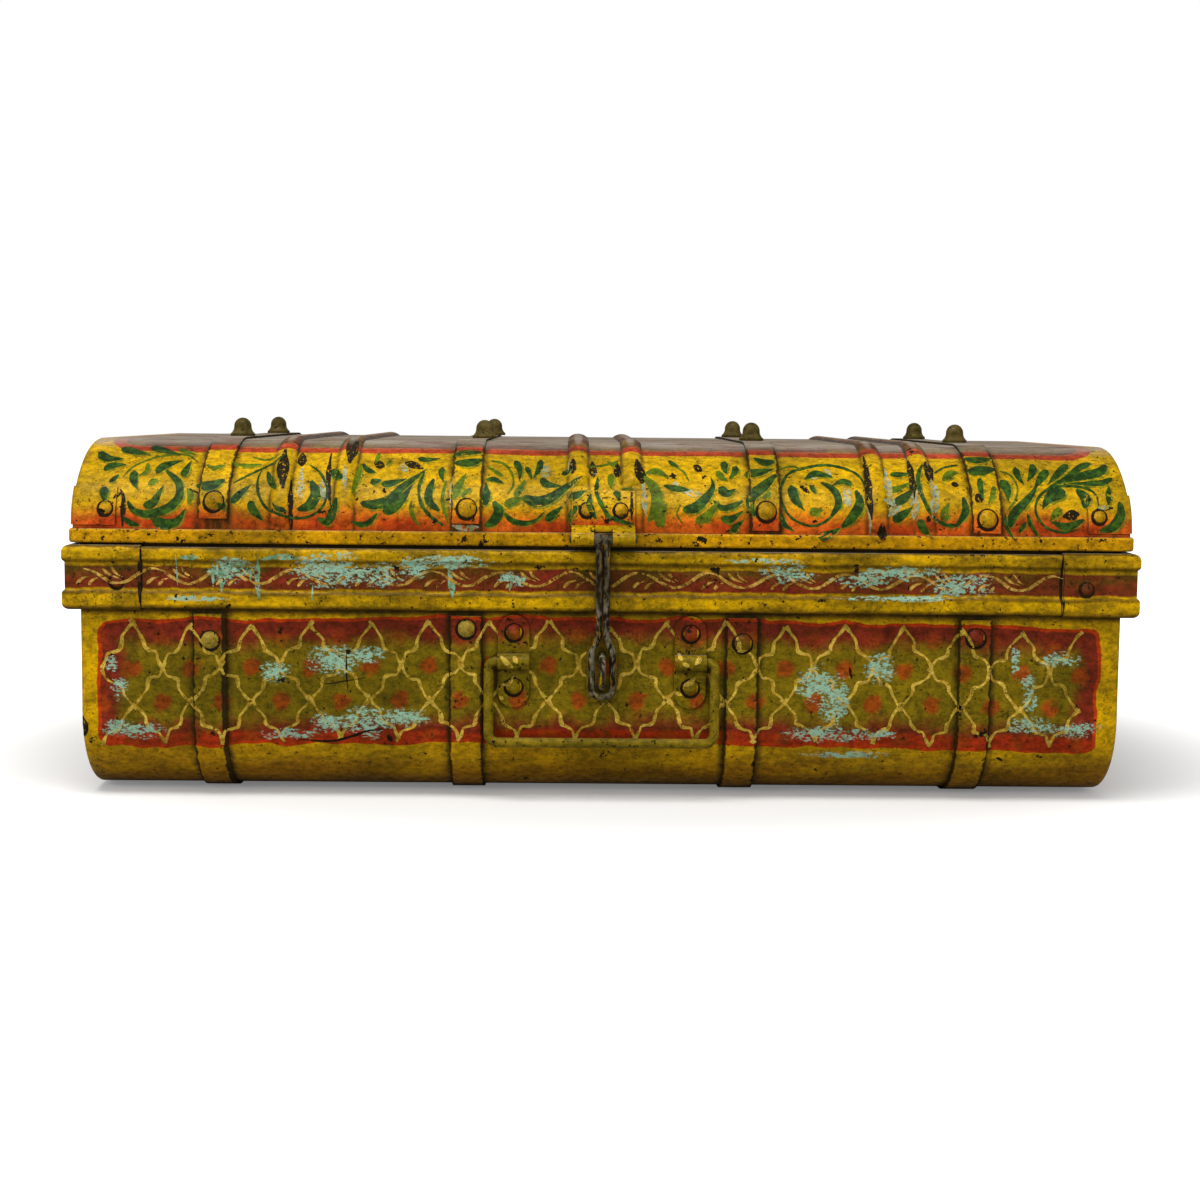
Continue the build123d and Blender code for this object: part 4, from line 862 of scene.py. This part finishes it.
def vine(brush, reach):
    """A wavy stem in overlapping strokes, with two commas in each hollow and two under each crest."""
    steps = int(2 * reach / (VINE_WAVE / 8))
    stem = []
    for i in range(steps + 1):
        angle = math.pi / 4 * i
        stem.append((-reach + i * VINE_WAVE / 8, VINE_MIDDLE + VINE_RISE * math.cos(angle) + rng.uniform(-0.5, 0.5)))
    for start in range(0, steps - 8, 8):
        brush.stroke(stem[start : start + 6], 2.3, "leaf")
        brush.stroke(stem[start + 3 : start + 10], 2.5, "leaf")
        crest, hollow = stem[start][0], stem[start + 4][0]
        for shift, rise, run in ((-11, 5.4, 11.5), (-4.5, 6.2, 7.5)):
            tip = Vector((hollow + shift, VINE_MIDDLE + rise))
            brush.stroke([tip, tip + Vector((run * 0.35, -4.0)), tip + Vector((run, -7.0))], 2.1, "comma")
        for shift, drop, run in ((-5.0, -6.0, 9.0), (3.5, -6.8, 7.0)):
            foot = Vector((crest + shift, VINE_MIDDLE + drop))
            brush.stroke([foot, foot + Vector((run * 0.45, 3.8)), foot + Vector((run, 5.4))], 2.3, "comma")


DRIPS = """
worn 5.0 -271,170 -269,160 -269,150
worn 2.9 -275,170 -275,153
worn 3.6 -268,168 -256,169 -249,165 -249,156
worn 4.3 -243,175 -244,158 -242,144
worn 1.8 -205,155 -205,144
worn 1.4 -301,178 -300,154
worn 5.0 -109,168 -107,156 -106,147
worn 2.9 -64,164 -66,152
worn 4.3 -298,174 -285,174
worn 4.3 -241,173 -228,175 -212,174
"""
gold_on_collar = stroke_enamel("gold_stroke_collar", collar_coat, "#DCAE54", 0.55, 0.6, COLLAR_SCUFFS, thin="#AA782E")
turquoise_drip = stroke_enamel("turquoise_drip", collar_coat, "#8DB69D", 0.55, chips=0.4, grain=3)
long_vine, end_vine = partial(vine, reach=366), partial(vine, reach=208)
paint_round("vine", collar_iron, long_vine, end_vine, gold_on_collar)
drips = Brush("turquoise_drips", flat_map(collar_iron, -1))
play(drips, DRIPS)
drips.finish("tub", turquoise_drip)

# %% [markdown]
# ## Green scrollwork on the lid
# The lid's foliage is made of a few kinds of mark in two greens: commas pressed down and lifted off, crescents,
# plain leaves, and thin stems that curl. Every one was placed by a practised hand, not by a rule, so they are
# written down as a painter's score: one line for each stroke, with its shape, its width and the points that its
# middle goes through.

# %% Score of the foliage
DARK_STROKES = """
comma 4.7 -365,246 -356,242 -345,242
comma 4.0 -350,249 -340,247 -327,245
comma 3.6 -329,250 -319,248 -305,245
comma 4.3 -357,234 -352,237 -342,238
comma 5.0 -319,232 -315,237 -302,241
comma 5.0 -300,230 -298,235 -296,241
comma 5.4 -335,234 -334,228 -330,221
comma 5.8 -325,210 -318,212 -312,224
crescent 5.8 -312,234 -302,226 -300,217 -305,210 -313,206 -323,204 -332,207 -336,213
comma 7.2 -318,201 -310,197 -301,199 -295,208
comma 5.8 -352,222 -353,218 -351,211
leaf 3.2 -351,226 -348,228 -345,231
leaf 3.6 -339,202 -334,198 -327,196
leaf 5.8 -289,224 -279,223 -269,227
leaf 3.6 -272,211 -269,209 -267,212
line 1.7 -263,226 -252,232 -242,237 -228,244
comma 5.0 -263,212 -258,218 -250,225
comma 5.4 -250,214 -247,207 -240,200
line 1.9 -244,236 -246,228 -244,218 -238,209 -228,204 -217,202 -206,204 -198,211 -196,222 -202,233 -211,239
leaf 4.0 -240,234 -237,228 -232,221
comma 3.2 -224,207 -230,208 -234,212
crescent 7.2 -208,228 -204,219 -208,211 -216,208
comma 5.4 -194,236 -189,230 -183,229
crescent 5.8 -189,216 -191,207 -195,200 -202,202
leaf 3.2 -173,240 -169,236 -163,234
comma 3.0 -134,244 -127,243 -118,244
comma 4.0 -166,227 -162,228 -158,229
comma 4.3 -158,226 -150,227 -140,230
comma 6.5 -172,213 -163,212 -152,215 -143,224 -134,231 -126,237
comma 7.2 -156,207 -149,210 -142,217 -136,226
line 2.6 -128,235 -131,224 -129,213 -122,204 -113,198
crescent 5.4 -121,230 -124,221 -123,214 -116,208
comma 4.0 -115,238 -116,234 -114,228
leaf 3.6 -178,200 -170,198 -165,200 -160,206
leaf 3.2 -109,245 -100,247 -88,247
leaf 5.0 -107,240 -97,240 -87,242
leaf 3.2 -84,230 -78,230 -72,228
comma 4.3 -64,243 -60,237 -60,229
comma 5.8 -86,212 -83,219 -84,228
comma 3.2 -56,239 -53,235 -51,230
comma 4.3 -45,244 -46,238 -50,231
comma 4.7 -45,231 -40,227 -30,226
comma 6.8 -58,218 -47,215 -37,218 -27,225 -15,231
crescent 6.8 -78,215 -74,208 -78,201 -84,198
comma 3.6 -70,207 -65,202 -56,200 -48,202 -41,209
comma 5.0 -41,202 -35,207 -29,212
comma 3.2 -30,234 -27,235 -22,236
comma 4.7 -25,218 -19,219 -12,223
comma 4.3 -19,212 -23,206 -24,199
leaf 4.0 -9,220 -10,212 -5,203
line 3.0 -4,232 -5,221 -2,214 3,206 11,202 21,200
comma 4.3 7,223 10,220 11,215
leaf 2.9 47,244 50,242 54,240
leaf 4.0 43,227 51,225 61,224
comma 6.5 56,210 65,212 72,218 78,226 77,233
crescent 4.0 78,217 84,212 91,213 99,217
comma 5.0 83,205 90,204 99,210
comma 4.3 90,194 94,199 100,204
comma 5.8 82,226 88,222 94,225
comma 5.0 88,244 87,239 89,235
comma 4.3 96,241 94,236 90,232
leaf 4.3 109,245 116,242 124,243
comma 5.0 101,235 109,235 123,238
leaf 6.5 124,234 114,226 106,220 104,214 107,206
line 1.9 186,215 187,225 184,234 176,239 162,242 146,240 132,235 126,222 130,209 \
139,202 150,200 161,206 167,216 164,225 155,230
crescent 4.7 156,230 164,225 167,216 161,206
comma 6.5 134,228 136,219 142,211
leaf 3.2 147,228 149,226 151,223
leaf 4.0 144,232 152,236 164,234
comma 3.6 178,229 171,231 163,228
crescent 6.5 180,225 182,216 177,207 169,199
comma 5.8 152,192 160,194 168,199
comma 4.0 125,208 128,201 135,196
comma 3.2 206,236 213,236 221,237
comma 5.8 207,216 214,220 223,227
comma 5.8 205,204 212,208 220,214
line 2.9 230,241 225,232 226,221 231,210 239,203 249,201 254,206 257,216
crescent 4.7 256,221 257,211 251,202
line 1.3 238,237 246,241 257,243
comma 4.7 223,205 227,198 233,192
leaf 4.0 262,246 270,245 281,246
leaf 5.8 261,237 271,238 282,239
comma 4.0 270,233 269,226 270,218
comma 6.5 285,233 288,227 288,218
comma 4.7 298,242 298,236 301,230
comma 5.0 312,244 309,238 304,232
comma 5.0 321,240 314,234 308,227
comma 5.8 288,200 291,209 298,216 306,224 312,232
comma 4.3 337,244 328,238 318,230
comma 3.6 354,245 345,242 336,237 325,231
comma 5.4 365,244 358,239 344,236 330,233 318,228
comma 3.6 366,235 359,232 349,231 333,231
comma 7.9 330,225 321,223 315,218 312,213
crescent 6.5 338,227 343,221 342,214
leaf 5.0 318,204 329,201 341,206
line 2.0 352,215 350,225 338,229 321,228 310,221 307,211 313,201 325,197 337,199
leaf 3.6 362,229 360,223 359,216
crescent 6.5 367,218 367,209 361,201 352,198
leaf 2.2 285,210 286,200 292,191
leaf 2.6 301,210 303,202 309,193
leaf 2.9 295,196 297,200 300,204
"""
LIGHT_STROKES = """
comma 2.5 -308,249 -301,247 -294,245
line 1.4 -342,229 -337,236 -328,241 -318,244 -301,245 -291,240
comma 3.2 -327,239 -326,234 -331,230
leaf 3.6 -323,224 -321,226 -317,228
leaf 4.3 -295,222 -292,217 -293,211
leaf 2.5 -284,237 -278,235 -271,237
line 1.3 -253,244 -243,242 -234,245
leaf 2.3 -267,239 -256,238 -245,239
leaf 3.6 -174,240 -175,232 -178,219
leaf 2.9 -164,240 -163,244 -162,248
leaf 2.3 -156,239 -154,241 -153,243
leaf 2.5 -136,215 -136,207 -131,198
leaf 2.5 -112,229 -114,216 -110,200
comma 5.8 -107,216 -103,224 -98,233
leaf 2.9 -100,217 -98,220 -94,223
comma 2.5 -72,232 -78,236 -84,239
line 1.6 -81,243 -72,241 -66,235 -64,227 -68,220
comma 4.3 -63,218 -59,224 -56,230
comma 5.8 -70,212 -64,215 -56,218
line 1.2 -65,213 -59,216 -52,216 -49,212
comma 4.3 6,235 5,229 6,224
line 1.4 -12,239 -2,240 8,242
leaf 2.5 3,243 7,241 11,244
leaf 2.9 13,224 18,224 20,226
crescent 7.2 29,233 36,225 38,217 36,209 32,202
comma 7.2 41,198 40,206 45,215
leaf 3.6 30,235 38,237 46,233
line 1.4 52,240 58,236 61,230
line 1.4 54,213 52,207 56,201
comma 6.1 65,202 72,205 77,210 82,217
comma 4.3 81,237 84,234 88,231
leaf 2.9 113,218 116,220 119,222
comma 5.8 146,209 151,210 156,211
line 1.2 127,239 136,241 143,239
comma 4.0 200,225 209,226 221,231
leaf 4.3 243,232 248,236 255,238
comma 5.4 243,204 242,210 246,217
comma 3.2 279,228 277,222 273,215
line 1.6 286,239 293,236 296,228 293,219 287,212
comma 5.0 326,213 321,210 317,205
"""
print("strokes:", len(DARK_STROKES.split("\n")) - 2, "dark,", len(LIGHT_STROKES.split("\n")) - 2, "light")

# %% [markdown]
# The back of the lid is painted with the same score, run from the other end. Each end of the lid takes two parts of
# it, one of which holds the large scroll. In front and at the back, beside each broad stroke a thin first pass of a
# lighter green shows, so that the foliage has an edge and doesn't lie flat.

# %% Foliage
def excerpt(score, low_x, high_x, shift):
    """The strokes of a score that lie between two places, moved along."""
    kept = []
    for line in score.strip().splitlines():
        shape, width, *points = line.split()
        places = [tuple(map(float, point.split(","))) for point in points]
        if all(low_x < x < high_x for x, _ in places):
            kept.append(" ".join([shape, width] + [f"{x + shift},{z}" for x, z in places]))
    return "\n".join(kept)


FIRST_LIFT = 0.05  # under every stroke that follows
END_PARTS = ((125, 262, -120), (-262, -100, 110))  # from, to, and how far it is moved
green_dark = stroke_enamel("green_dark_stroke", lid_coat, "#1F4018", 0.72, thin="#45681C")
green_light = stroke_enamel("green_light_stroke", lid_coat, "#4E7A14", 0.66, cover=0.9, thin="#39621A")
green_first = stroke_enamel("green_first_pass", lid_coat, "#66821A", 0.5, cover=0.75)
for shade, score, material in (("dark", DARK_STROKES, green_dark), ("light", LIGHT_STROKES, green_light)):
    for side, label in FRONT_AND_BACK:
        brush = Brush(f"foliage_{shade}_{label}", lid_map(lid_iron, side))
        first_pass = Brush(f"foliage_{shade}_first_{label}", lid_map(lid_iron, side), lift=FIRST_LIFT)
        play(brush, score, first_pass, fat=1.1)
        brush.finish("lid", material)
        first_pass.finish("lid", green_first)
    for side, label in ENDS:
        brush = Brush(f"foliage_{shade}_{label}", end_map(lid_iron, side))
        for part in END_PARTS:
            play(brush, excerpt(score, *part))
        brush.finish("lid", material)

# %% [markdown]
# ## Worn flutes
# The pressed flutes stand proud, so hands and ropes have rubbed them first: bare dark iron along their crests, with
# grey-green remains of an older coat beside it. These marks are strokes too, ragged ones.

# %% Wear on the lid
WORN_TO_IRON = """
worn 5.0 -230,247 -229,235 -227,221
worn 2.2 -222,228 -221,211 -220,192
worn 4.3 -218,247 -216,238
worn 2.2 -197,247 -196,230 -193,211
worn 5.0 -185,258 -182,248 -182,238
worn 3.6 -22,243 -22,233
worn 3.6 -8,243 -7,232
worn 3.6 10,242 10,232
worn 5.0 24,243 26,235 28,228
worn 1.4 20,224 20,202
worn 2.9 189,247 189,236 189,218 190,204
worn 4.3 197,202 198,190
worn 2.9 221,245 221,234 221,219
worn 5.0 234,244 234,237 233,230
worn 5.0 265,222 269,217
worn 4.3 326,208 338,210
worn 1.8 348,211 353,213 362,214
worn 2.2 -342,221 -339,214 -339,195
worn 1.4 -346,214 -341,219
worn 2.9 -143,241 -135,239 -129,237
worn 3.6 -165,241 -157,238
worn 2.2 249,230 254,229
worn 2.9 65,241 71,237
"""
OLDER_COAT = """
worn 2.9 -216,237 -215,223 -214,213
worn 2.9 -200,230 -197,213
worn 2.2 -185,237 -183,221
worn 4.3 -147,237 -138,239
worn 4.3 -43,241 -40,231
worn 2.2 -25,242 -23,234
worn 2.2 -6,241 -7,232
worn 2.5 28,231 29,217 30,205
worn 2.9 49,228 54,227
worn 3.6 57,223 69,221
worn 3.6 149,233 154,237
worn 3.6 160,239 162,233
worn 4.3 173,227 174,213
worn 2.2 189,240 189,222 189,195
worn 3.6 203,240 203,227 204,209
worn 3.6 221,228 221,217 220,204
worn 4.3 235,233 236,221 233,206
worn 4.3 199,218 208,214 202,207
worn 2.2 351,214 359,214
worn 1.8 -107,231 -108,223 -108,207
worn 2.9 -107,198 -98,196 -88,197
"""
WEAR_FAT = 1.8
worn_iron = stroke_enamel("worn_to_iron", lid_coat, "#261D0C", 0.58, grain=2.2, stretch=(1, 1, 0.4))
older_coat = stroke_enamel("older_grey_coat", lid_coat, "#ADB4A0", 0.5, chips=0.7, grain=2.2, stretch=(1, 1, 0.5))
for name, score, material in (("wear_dark", WORN_TO_IRON, worn_iron), ("wear_pale", OLDER_COAT, older_coat)):
    for side, label in FRONT_AND_BACK:
        brush = Brush(f"{name}_{label}", lid_map(lid_iron, side))
        play(brush, score, fat=WEAR_FAT)
        brush.finish("lid", material)

# %% [markdown]
# ## Dirt and painted shadow round rivets, and dark lines along laps
# A dark ring is laid round each rivet that shows in front or at the back: dirt that no cloth gets out, and a painted
# shadow, for the ring sits a little low and to one side and is thickest on one side. A ragged dark line runs along
# each lap of the collar's sleeves, where one sheet ends on another. The rivets are found in the iron itself, by
# gathering the points that lie close together.

# %% Dirt and painted shadow
RIVET_REACH = 16  # mm: a rivet's points all lie closer than this to each other


def rivets_of(node_name):
    """Middle and radius in mm of each rivet of a node."""
    heaps = []
    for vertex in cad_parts[node_name].data.vertices:
        point = vertex.co / MM
        near = next((heap for heap in heaps if (heap[0] - point).length < RIVET_REACH), None)
        if near:
            near.append(point)
        else:
            heaps.append([point])
    across = [[point.x for point in heap] for heap in heaps]
    return [(sum(heap, Vector()) / len(heap), (max(xs) - min(xs)) / 2) for heap, xs in zip(heaps, across)]


def height_on_lid(place):
    """The lid map's height for a place on the lid, found from the tight arc's centre."""
    climb = math.atan2(place.z - LID_SPRING, abs(place.y) - (LID_HALF_DEPTH - TIGHT))
    return LID_SPRING + TIGHT * math.sin(climb) if climb > 0 else place.z


LAP_X, LAP_HEIGHTS = 326, (137.5, 145, 152, 160, 168, 175, 181)  # where the collar's sleeves end
RING_MARGIN, RING_WIDTH, LAP_WIDTH = 0.6, 2.3, 3.4
SHOWS_FROM_Y, SHOWS_TO_X = 150, 369  # rivets nearer the middle or at the very ends get no ring
# dark brown for the rings and laps: dirt, and a painted shadow round the rivets
dirt_and_shade = aged_enamel("rivet_dirt_and_shadow", plain_coat("#21160A"), chips=0.5, corner_shaded=False)
SURFACES = (
    ("tub", "tub_enamel", tub_iron, flat_map, ("tub_strap_rivets",)),
    ("tub", "handle_paint", clip_iron, flat_map, ("handle_clip_rivets",)),
    ("tub", "collar_enamel", collar_iron, flat_map, ("collar_rivets",)),
    ("lid", "lid_enamel", lid_iron, lid_map, ("lid_strap_rivets", "lid_corner_rivets", "hasp_plate_rivets")),
)
turns = [math.pi * i / 7 for i in range(14)]
for body, slot, iron, chart, rivet_nodes in SURFACES:
    for side, label in FRONT_AND_BACK:
        brush = Brush(f"dirt_{rivet_nodes[0]}_{label}", chart(iron, side))
        for place, radius in [spot for node_name in rivet_nodes for spot in rivets_of(node_name)]:
            if place.y * side < SHOWS_FROM_Y or abs(place.x) > SHOWS_TO_X:
                continue
            # each ring sits a little to one side and low, as a painted shadow of the head
            x, z = -side * place.x + 0.3, (height_on_lid(place) if body == "lid" else place.z) - 0.5
            wide = radius + RING_MARGIN
            ring = [(x + wide * math.cos(a), z + wide * math.sin(a)) for a in turns]
            brush.stroke(ring, RING_WIDTH, "ring", closed=True)
        if "collar_rivets" in rivet_nodes:
            for end in (-1, 1):
                lap = [(end * LAP_X + rng.uniform(-0.7, 0.7), z) for z in LAP_HEIGHTS]
                brush.stroke(lap, LAP_WIDTH, "worn")
        if brush.faces:
            brush.finish(body, dirt_and_shade)

# %% [markdown]
# ## Floor and light
# A plain pale floor keeps the trunk's shadow, and a white world stands behind it. The camera sees the floor lifted
# a little, and all the way to white some distance off, while the light that it throws back on the trunk is that of a
# pale grey. Light is plain and soft: one large lamp overhead in front, a weaker one to each side, and the white world
# all round, at a level where a colour looks as it is written.

# %% Floor, lamps and world
FLOOR_LIFT, WORLD_LEVEL, WHITE = 0.17, 0.36, (1, 1, 1, 1)
LIFT_STARTS, LIFT_FULL = 0.27, 0.62  # m from the trunk's middle, with x counted at three quarters
bpy.ops.mesh.primitive_plane_add(size=30, location=(0, 0, 0))
floor = bpy.context.object
floor.name = "floor"
floor_material = bpy.data.materials.new("floor_white")
floor_material.use_nodes = True
tree = floor_material.node_tree
tree.nodes.clear()
seen = add(tree, "LightPath").outputs["Is Camera Ray"]
place = add(tree, "Mapping", add(tree, "TexCoord").outputs["Object"], None, None, (0.75, 1, 1))
away = add(tree, "VectorMath LENGTH", place).outputs["Value"]
lift = add(tree, "MapRange", away, LIFT_STARTS, LIFT_FULL, FLOOR_LIFT, 1.0, interpolation_type="SMOOTHSTEP")
pale = add(tree, "BsdfDiffuse", colour("#D6D6D4"))
lifted = add(tree, "AddShader", pale, add(tree, "Emission", WHITE, lift))
both = add(tree, "MixShader", seen, add(tree, "BsdfDiffuse", colour("#B4B3AF")), lifted)
add(tree, "OutputMaterial", both)
floor.data.materials.append(floor_material)

world = bpy.data.worlds.new("studio")
bpy.context.scene.world = world
world.use_nodes = True
tree = world.node_tree
tree.nodes.clear()
path = add(tree, "LightPath").outputs
shown_white = add(tree, "Math MAXIMUM", path["Is Camera Ray"], path["Is Transmission Ray"])
glow = add(tree, "MixRGB", shown_white, (WORLD_LEVEL, WORLD_LEVEL, WORLD_LEVEL, 1), WHITE)
add(tree, "OutputWorld", add(tree, "Background", glow, 1.0))


def lamp(name, place, aim, size, watts):
    """A rectangular lamp at a place, aimed at another, both in m."""
    data = bpy.data.lights.new(name, "AREA")
    data.shape, data.size, data.size_y, data.energy = "RECTANGLE", size[0], size[1], watts
    light = bpy.data.objects.new(name, data)
    light.location = place
    light.rotation_euler = (Vector(aim) - Vector(place)).to_track_quat("-Z", "Y").to_euler()
    bpy.context.scene.collection.objects.link(light)
    print("lamp", name, watts, "W")


lamp("overhead", (-0.3, -0.9, 2.0), (0, 0, 0.1), (1.6, 0.9), 39)
lamp("front_left", (-1.7, -1.9, 1.0), (0, 0, 0.12), (1.0, 1.0), 18)
lamp("front_right", (1.9, -1.8, 0.9), (0, 0, 0.12), (1.0, 1.0), 14)
